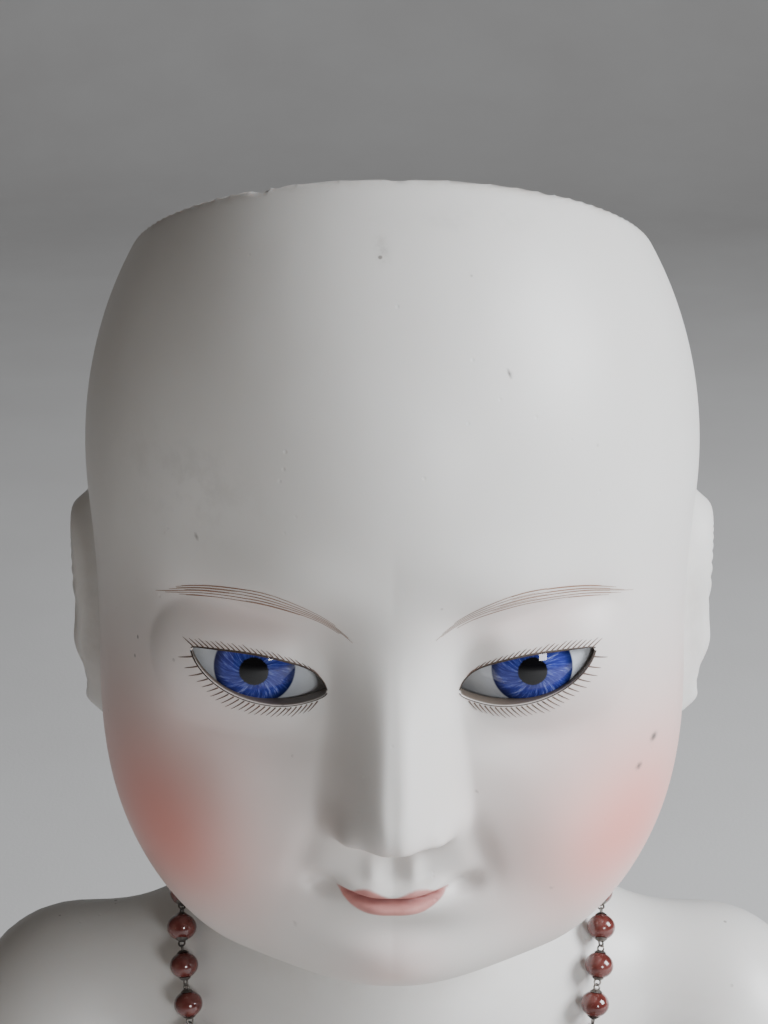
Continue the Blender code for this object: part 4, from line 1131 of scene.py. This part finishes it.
def make_plate():
    steps = [(CUT, armhole(side, ARCH_RADIUS, 37)) for side in (1, -1)]
    steps += [
        (CUT, dense_skin(trunk_distance, TORSO_CENTRE, PLATE_WALL, 96, 60)),
        (JOIN, solid_ball(CUP + CUP_WALL, PIVOT)),
        (CUT, solid_ball(CUP, PIVOT)),
        (CUT, solid_rod(30, PIVOT + Vector((0, 0, 0.6)), PIVOT + Vector((0, 0, FAR)), 64)),
        (CUT, layer(-FAR, PLATE_EDGE)),
        (CUT, solid_rod(4.5, PIVOT - Vector((0, 0, 40)), PIVOT)),
    ]
    plate = carve("bisque_plate", dense_skin(torso_distance, TORSO_CENTRE), STILL, steps)
    points = np.array([tuple(v.co) for v in plate.data.vertices]) / MM
    # Darker along the plate's lower edge and its arm arches, and painted shade in the cup where the neck
    # sits.
    low = bump(points[:, 2], PLATE_EDGE, 3.0) * 0.9
    over = np.maximum(points[:, 2] - SHOULDER.z, 0)
    arch = np.abs(np.hypot(points[:, 1] - SHOULDER.y, over) - ARCH_RADIUS)
    edge = bump(arch, 0, 1.5) * (np.abs(points[:, 0]) > 36) * 0.8
    cup = bump(np.hypot(points[:, 0], points[:, 1]), 19, 4) * step(points[:, 2], 204, 212) * 0.6
    add_attribute(plate, "grime_and_shade", np.clip(low + edge + cup, 0, 1))
    finish(plate, PLATE_BISQUE, "shoulder_plate", "chest")


def make_chest():
    cup = CUP + CUP_WALL + 1.5 * GAP
    steps = [
        (CUT, layer(-FAR, WAIST.z + GAP)),
        (CUT, layer(PIVOT.z - 15, PIVOT.z + FAR)),
        (CUT, solid_ball(cup, PIVOT)),
        (CUT, solid_rod(13, (0, 0, 152), (0, 0, PIVOT.z + 10), 48)),
        (CUT, solid_ball(WAIST_BALL + GAP, WAIST)),
    ]
    for side in (1, -1):
        steps.append((CUT, armhole(side, 13, SHOULDER.x - 12 - GAP)))
        inner = mirrored(SHOULDER, side) - Vector((20 * side, 0, 0))
        steps.append((CUT, solid_rod(2.8, inner, mirrored(SHOULDER, side), 24)))
    block = dense_skin(trunk_distance, TORSO_CENTRE, PLATE_WALL + 1.6, 120, 72)
    wooden("chest", block, STILL, steps)


def pelvis_distance(points):
    return form_distance(PELVIS_FORM, points)


def make_pelvis():
    room = HIP_BALL + GAP
    lift = math.radians(22.0)
    way = Vector((0, -math.cos(lift), math.sin(lift)))
    start = math.pi / 2 - lift
    steps = [
        (CUT, layer(WAIST.z - GAP, FAR)),
        (CUT, layer(-FAR, 0)),
        (CUT, solid_ball(WAIST_BALL + GAP, WAIST)),
    ]
    for side in (1, -1):
        outline = [HIP + way * 90 + Vector((0, math.cos(start), math.sin(start))) * room]
        for i in range(37):
            angle = start * (1 - i / 36)
            outline.append(HIP + Vector((0, math.cos(angle), math.sin(angle))) * room)
        outline += [Vector((0, HIP.y + room, -12)), Vector((0, -95, -12))]
        steps.append((CUT, slab(outline, HIP_WEB * side, 70 * side)))
    steps.append((CUT, solid_rod(LEG_PIN + GAP, (-30, HIP.y, HIP.z), (30, HIP.y, HIP.z), 24)))
    block = dense_skin(pelvis_distance, np.array((0.0, 0.0, 50.0)), 3.0, 120, 72)
    wooden("pelvis", block, STILL, steps)
    wooden("waist_ball", solid_ball(WAIST_BALL, WAIST, 64, 40), STILL, [], "pelvis")


# ---------------------------------------------------------------- limbs, each drawn hanging down

SHOULDER_BALL = 12.0
UPPER_ARM = 62.0
ELBOW_RADIUS = 8.6
FOREARM = 52.0
WRIST_RADIUS = 5.4
THIGH = 110.0
KNEE_RADIUS = 10.4
SHIN = 104.0
ANKLE_RADIUS = 7.0
ARM_SLOT = 2.6
KNEE_SLOT = 3.2
ANKLE_SLOT = 2.4
HEEL_HEIGHT = 15.4


def across(radius, z=0.0, half=25):
    return solid_rod(radius, (-half, 0, z), (half, 0, z), 24)


def moved(x, y, z):
    return Matrix.Translation(Vector((x, y, z)) * MM)


def turned(degrees, axis):
    return Matrix.Rotation(math.radians(degrees), 4, axis)


def make_arm(side, word):
    shoulder = moved(*mirrored(SHOULDER, side))
    spread = shoulder @ turned(-7 * side, "Y")
    low, high = sorted((-7 * side, 20 * side))
    wooden(f"shoulder_ball_{word}", solid_ball(SHOULDER_BALL), shoulder, [
        (JOIN, solid_rod(2.4, (-19 * side, 0, 0), (-8 * side, 0, 0))),
        (CUT, solid_box((low, -ARM_SLOT, -20), (high, ARM_SLOT, 7))),
        (CUT, solid_rod(PIN + GAP, (0, -20, 0), (0, 20, 0))),
    ], f"shoulder_{word}")

    tongue = ARM_SLOT - GAP
    top, elbow = -SHOULDER_BALL - 1.2, -UPPER_ARM
    profile = (
        (0, top), (5.7, top), (8.8, top - 2.5), (10.0, top - 12), (9.5, top - 26),
        (8.0, elbow + 10), (ELBOW_RADIUS, elbow + 2.5), (ELBOW_RADIUS * 0.94, elbow - 3.0),
        (ELBOW_RADIUS * 0.66, elbow - 6.4), (ELBOW_RADIUS * 0.3, elbow - 8.2), (0, elbow - ELBOW_RADIUS),
    )
    wooden(f"upper_arm_{word}", solid_turned(smoothed(profile)), spread, [
        (JOIN, solid_box((-5.0, -tongue, top - 3), (5.0, tongue, 0))),
        (JOIN, solid_rod(5.0, (0, -tongue, 0), (0, tongue, 0))),
        (CUT, solid_rod(PIN + GAP, (0, -20, 0), (0, 20, 0))),
        (CUT, solid_box((-ARM_SLOT, -20, elbow - 20), (ARM_SLOT, 20, elbow + ELBOW_RADIUS))),
        (CUT, across(PIN + GAP, elbow)),
    ])

    bend = spread @ moved(0, 0, elbow) @ turned(-28, "X")
    start, wrist = -ELBOW_RADIUS - 0.9, -FOREARM
    profile = (
        (0, start), (5.0, start), (7.6, start - 2.0), (8.2, start - 8), (6.6, wrist * 0.72),
        (WRIST_RADIUS, wrist + 3), (WRIST_RADIUS, wrist), (0, wrist),
    )
    wooden(f"forearm_{word}", solid_turned(smoothed(profile)), bend, [
        (JOIN, solid_box((-tongue, -4.6, start - 3), (tongue, 4.6, 0))),
        (JOIN, across(5.6, 0, tongue)),
        (CUT, across(PIN + GAP)),
        (CUT, solid_rod(2.6, (0, 0, wrist - 2), (0, 0, wrist + 9))),
    ])
    make_hand(side, word, bend @ moved(0, 0, wrist))


def finger(begin, way, length, root, tip):
    """The two solids of a finger: a tapering rod and the round end past it."""
    end = begin + Vector(way).normalized() * length
    rod = solid_rod(root, begin, end, 24, tip - 0.05)
    return [(JOIN, rod), (JOIN, solid_ball(tip, end, 20, 12))]


def make_hand(side, word, matrix):
    palm = solid_ball((4.2, 8.2, 10.2), (0, 0, -10.4))
    steps = [(JOIN, solid_rod(4.9, (0, 0, -GAP), (0, 0, -6)))]
    for index, length in enumerate((12.0, 13.6, 12.8, 10.4)):
        begin = Vector((0, (index - 1.5) * 3.7 - 0.5, -16))
        way = (-0.12 * side, 0.05 * (index - 1.5), -1)
        steps += finger(begin, way, length + 1.4, 2.0, 1.6)
    steps += finger(Vector((-1.2 * side, -4.5, -8)), (-0.3 * side, -0.62, -0.8), 11.6, 2.3, 1.7)
    wooden(f"hand_{word}", palm, matrix, steps, melt=0.34)
    wooden(f"hand_{word}", solid_rod(2.2, (0, 0, 8.0), (0, 0, -4)), matrix, [], detail="_peg")


def make_leg(side, word):
    raised = 8
    hip = moved(*mirrored(HIP, side)) @ turned(-90 - raised, "X")
    knee = -THIGH
    arc = [(HIP_BALL * math.sin(a), HIP_BALL * math.cos(a)) for a in np.linspace(0, math.pi / 2, 14)]
    profile = smoothed((
        (HIP_BALL, 0), (HIP_BALL * 0.985, -20), (14.4, -46), (11.8, -80), (10.2, knee + 12),
        (KNEE_RADIUS, knee + 3), (KNEE_RADIUS * 0.94, knee - 3.6), (KNEE_RADIUS * 0.7, knee - 7.4),
        (KNEE_RADIUS * 0.34, knee - 9.8), (0, knee - KNEE_RADIUS),
    ))
    wooden(f"thigh_{word}", solid_turned([(0, HIP_BALL), *arc[1:-1], *profile]), hip, [
        (CUT, across(LEG_PIN + GAP)),
        (CUT, solid_box((-KNEE_SLOT, -25, knee - 20), (KNEE_SLOT, 25, knee + KNEE_RADIUS))),
        (CUT, across(LEG_PIN + GAP, knee)),
    ])

    # The shin slopes down until its heel rests on the ground.
    knee_height = HIP.z + THIGH * math.sin(math.radians(raised))
    slope = math.degrees(math.asin((knee_height - HEEL_HEIGHT) / SHIN))
    knee_turn = hip @ moved(0, 0, knee) @ turned(raised + slope, "X")
    start, ankle, half = -KNEE_RADIUS - 0.9, -SHIN, KNEE_SLOT - GAP
    profile = (
        (0, start), (6.0, start), (9.2, start - 2.5), (11.2, -34), (10.4, -50), (7.4, -80),
        (6.4, ankle + 11), (ANKLE_RADIUS, ankle + 2), (ANKLE_RADIUS * 0.9, ankle - 3),
        (ANKLE_RADIUS * 0.6, ankle - 5.6), (0, ankle - ANKLE_RADIUS),
    )
    fork_top = ankle + ANKLE_RADIUS - 0.6
    wooden(f"shin_{word}", solid_turned(smoothed(profile)), knee_turn, [
        (JOIN, solid_box((-half, -5.6, start - 3), (half, 5.6, 0))),
        (JOIN, across(6.8, 0, half)),
        (CUT, across(LEG_PIN + GAP)),
        (CUT, solid_box((-ANKLE_SLOT, -25, ankle - 20), (ANKLE_SLOT, 25, fork_top))),
        (CUT, across(PIN + GAP, ankle)),
    ])
    make_foot(word, knee_turn @ moved(0, 0, ankle) @ turned(12, "X"))


def make_foot(word, matrix):
    sole = -19.0
    half = ANKLE_SLOT - GAP
    wooden(f"foot_{word}", solid_ball((8.6, 21.0, 6.4), (0, -11.0, -13.6)), matrix, [
        (JOIN, solid_ball((7.2, 8.6, 6.6), (0, -0.6, -13.6))),
        (JOIN, solid_ball((6.6, 11.0, 5.6), (0, -5.0, -12.8))),
        (CUT, solid_box((-30, -60, sole - 20), (30, 30, sole))),
    ], melt=0.42)
    tongue = solid_box((-half, -3.4, -11), (half, 3.4, 0))
    wooden(f"foot_{word}", tongue, matrix, [
        (JOIN, across(4.4, 0, half)),
        (CUT, across(PIN + GAP)),
    ], detail="_tongue")


# ---------------------------------------------------------------- necklace

BEAD = 2.0
LINK = 5.0
CLASP_ROOM = 4.9


def necklace_path(count, lift):
    """Points along the string of beads where it lies on the plate, in mm, from the clasp round."""
    half = [
        (0, 21, 36),
        (16, 17, 42),
        (23, 5, 47.5),
        (25.7, -8, 43),
        (27, -15, 32),
        (23, -25, 13),
        (12, -31, -1),
        (0, -33, -6),
    ]
    knots = np.array(half + [(-x, y, z) for x, y, z in reversed(half[:-1])], float)
    s = np.linspace(0, len(knots) - 1, count)
    smooth = np.zeros((count, 3))
    for i, at in enumerate(s):
        k = min(int(at), len(knots) - 2)
        p0, p1 = knots[max(k - 1, 0)], knots[k]
        p2, p3 = knots[k + 1], knots[min(k + 2, len(knots) - 1)]
        smooth[i] = curve_between(p0, p1, p2, p3, at - k)
    ways = smooth / np.linalg.norm(smooth, axis=1, keepdims=True)
    radius = surface_radius(torso_distance, TORSO_CENTRE, ways, 120)
    surface = TORSO_CENTRE + ways * radius[:, None]
    slope = np.zeros_like(surface)
    for axis in range(3):
        shift = np.eye(3)[axis] * 0.2
        slope[:, axis] = torso_distance(surface + shift) - torso_distance(surface - shift)
    return surface + slope / np.linalg.norm(slope, axis=1, keepdims=True) * lift


def merged(name, solids):
    """One mesh object from several bmesh solids, smooth except on sharp edges."""
    whole = bmesh.new()
    for bm in solids:
        mesh = bpy.data.meshes.new("part")
        bm.to_mesh(mesh)
        bm.free()
        whole.from_mesh(mesh)
        bpy.data.meshes.remove(mesh)
    obj = cut_object(whole, name)
    soft_shade(obj, 40)
    return obj


def make_necklace():
    path = necklace_path(700, BEAD + 0.35)
    lengths = np.concatenate([[0], np.cumsum(np.linalg.norm(np.diff(path, axis=0), axis=1))])
    total = lengths[-1]
    count = int(round((total - 2 * CLASP_ROOM) / LINK))

    def place(at):
        return Vector([np.interp(at, lengths, path[:, k]) for k in range(3)])

    beads, wires = [], []
    for at in np.linspace(CLASP_ROOM + 2.2, total - CLASP_ROOM - 2.2, count):
        way = (place(at + 0.5) - place(at)).normalized()
        size = BEAD * RANDOM.uniform(0.94, 1.0)
        lie = Vector((0, 0, 1)).rotation_difference(way).to_matrix().to_4x4()
        pieces = [solid_ball((size, size, size * 0.90), (0, 0, 0), 28, 18)]
        for sign in (1, -1):
            pieces.append(solid_rod(0.85, (0, 0, sign * 1.62), (0, 0, sign * 1.95), 16, 0.45))
            pieces.append(ring((0, 0, sign * 2.2), 0.42, 0.13, RANDOM.uniform(0, 3.1)))
        for bm in pieces:
            bmesh.ops.transform(bm, matrix=Matrix.Translation(place(at)) @ lie, verts=bm.verts)
        beads.append(pieces[0])
        wires += pieces[1:]
    # The string's ends reach the clasp.
    for at in (CLASP_ROOM + 0.2, total - CLASP_ROOM - 0.2):
        wires.append(solid_ball(0.5, place(at), 12, 8))
    finish(merged("necklace_beads", beads), BEAD_GLASS, "bead_string", "chest")
    finish(merged("necklace_wire", wires), IRON, "bead_string", "chest")


def ring(centre, radius, thick, turn):
    """A small wire eye standing along the string, turned about it by an angle."""
    bm = bmesh.new()
    rows = []
    for angle in np.arange(14) * math.tau / 14:
        row = []
        for around in np.arange(6) * math.tau / 6:
            reach = radius + thick * math.cos(around)
            flat = Vector((reach * math.cos(angle), thick * math.sin(around), reach * math.sin(angle)))
            row.append(bm.verts.new(Matrix.Rotation(turn, 3, "Z") @ flat + Vector(centre)))
        rows.append(row)
    for a, b in zip(rows, rows[1:] + rows[:1]):
        for j in range(6):
            k = (j + 1) % 6
            bm.faces.new((a[j], a[k], b[k], b[j]))
    return bm


make_plate()
make_chest()
make_pelvis()
for limb_side, limb_word in ((1, "left"), (-1, "right")):
    make_arm(limb_side, limb_word)
    make_leg(limb_side, limb_word)
make_necklace()

# ---------------------------------------------------------------- finish of the carried-over nodes

FINISH = {
    "head": PLATE_BISQUE, "shoulder_plate": PLATE_BISQUE, "bead_string": BEAD_GLASS,
    "eye_plaster_left": PLASTER, "eye_plaster_right": PLASTER, "neck_liner": KID,
    "neck_bolt": IRON, "neck_nut": IRON, "neck_spring": IRON,
    "neck_washer": BRASS, "necklace_clasp": BRASS,
}
for node_name, node in frame["nodes"].items():
    default = IRON if "_pin" in node_name else WOOD
    use(node, FINISH.get(node_name, default))

# ---------------------------------------------------------------- floor, light and camera


def make_floor():
    n = Nodes("floor_paper")
    place = n.position()
    colour = n.ramp(n.noise(place, 9, 3), (0.3, (0.70, 0.69, 0.68)), (0.7, (0.74, 0.735, 0.725)))
    n.set(Base_Color=colour, Roughness=0.9, Normal=n.bump(n.noise(place, 700, 2), 0.0002, 0.3))
    size, back, bend = 3.5, 2.2, 0.7
    rows = [(-size, 0.0), (back - bend, 0.0)]
    for i in range(1, 13):
        turn = math.pi / 2 * i / 12
        rows.append((back - bend + bend * math.sin(turn), bend - bend * math.cos(turn)))
    rows.append((back, 2.6))
    verts = [(x, y, z) for y, z in rows for x in (-size, size)]
    faces = [(2 * i, 2 * i + 1, 2 * i + 3, 2 * i + 2) for i in range(len(rows) - 1)]
    floor = mesh_object("floor", verts, faces)
    floor.location.z = -0.0002
    use(floor, n.material)


def make_light(name, place, size, power, colour):
    """A soft rectangular light that faces the head."""
    light = bpy.data.lights.new(name, "AREA")
    light.shape = "RECTANGLE"
    light.size, light.size_y = size
    light.energy = power
    light.color = colour
    obj = link(bpy.data.objects.new(name, light))
    obj.location = place
    way = HEAD - Vector(place)
    obj.rotation_euler = way.to_track_quat("-Z", "Y").to_euler()
    return obj


make_floor()
make_light("key_window", (0.95, -0.25, 0.78), (0.5, 0.6), 25.0, (0.93, 0.96, 1.0))
make_light("fill_left", (-0.9, -0.6, 0.35), (0.8, 0.8), 0.45, (1.0, 0.80, 0.62))
make_light("front_window", HEAD + Vector((0.37, -0.916, 0.17)), (0.2, 0.22), 3.4, (0.96, 0.98, 1.0))

world = bpy.data.worlds.new("studio")
bpy.context.scene.world = world
world.use_nodes = True
world.node_tree.nodes["Background"].inputs[0].default_value = (1.0, 0.95, 0.9, 1)
world.node_tree.nodes["Background"].inputs[1].default_value = 0.07

ELEVATION = math.radians(20)
VIEW_DISTANCE = 0.240
camera_data = bpy.data.cameras.new("camera")
camera_data.sensor_fit = "VERTICAL"
camera_data.sensor_height = 36.0
camera_data.lens = 67.7
camera_data.clip_start = 0.01
camera = link(bpy.data.objects.new("camera", camera_data))
view_way = Vector((0, math.cos(ELEVATION), -math.sin(ELEVATION)))
view_up = Vector((0, math.sin(ELEVATION), math.cos(ELEVATION)))
aim = HEAD + (view_up * 5.7 - Vector((1.0, 0, 0))) * MM
camera.location = aim - view_way * VIEW_DISTANCE
camera.rotation_euler = view_way.to_track_quat("-Z", "Y").to_euler()
bpy.context.scene.camera = camera
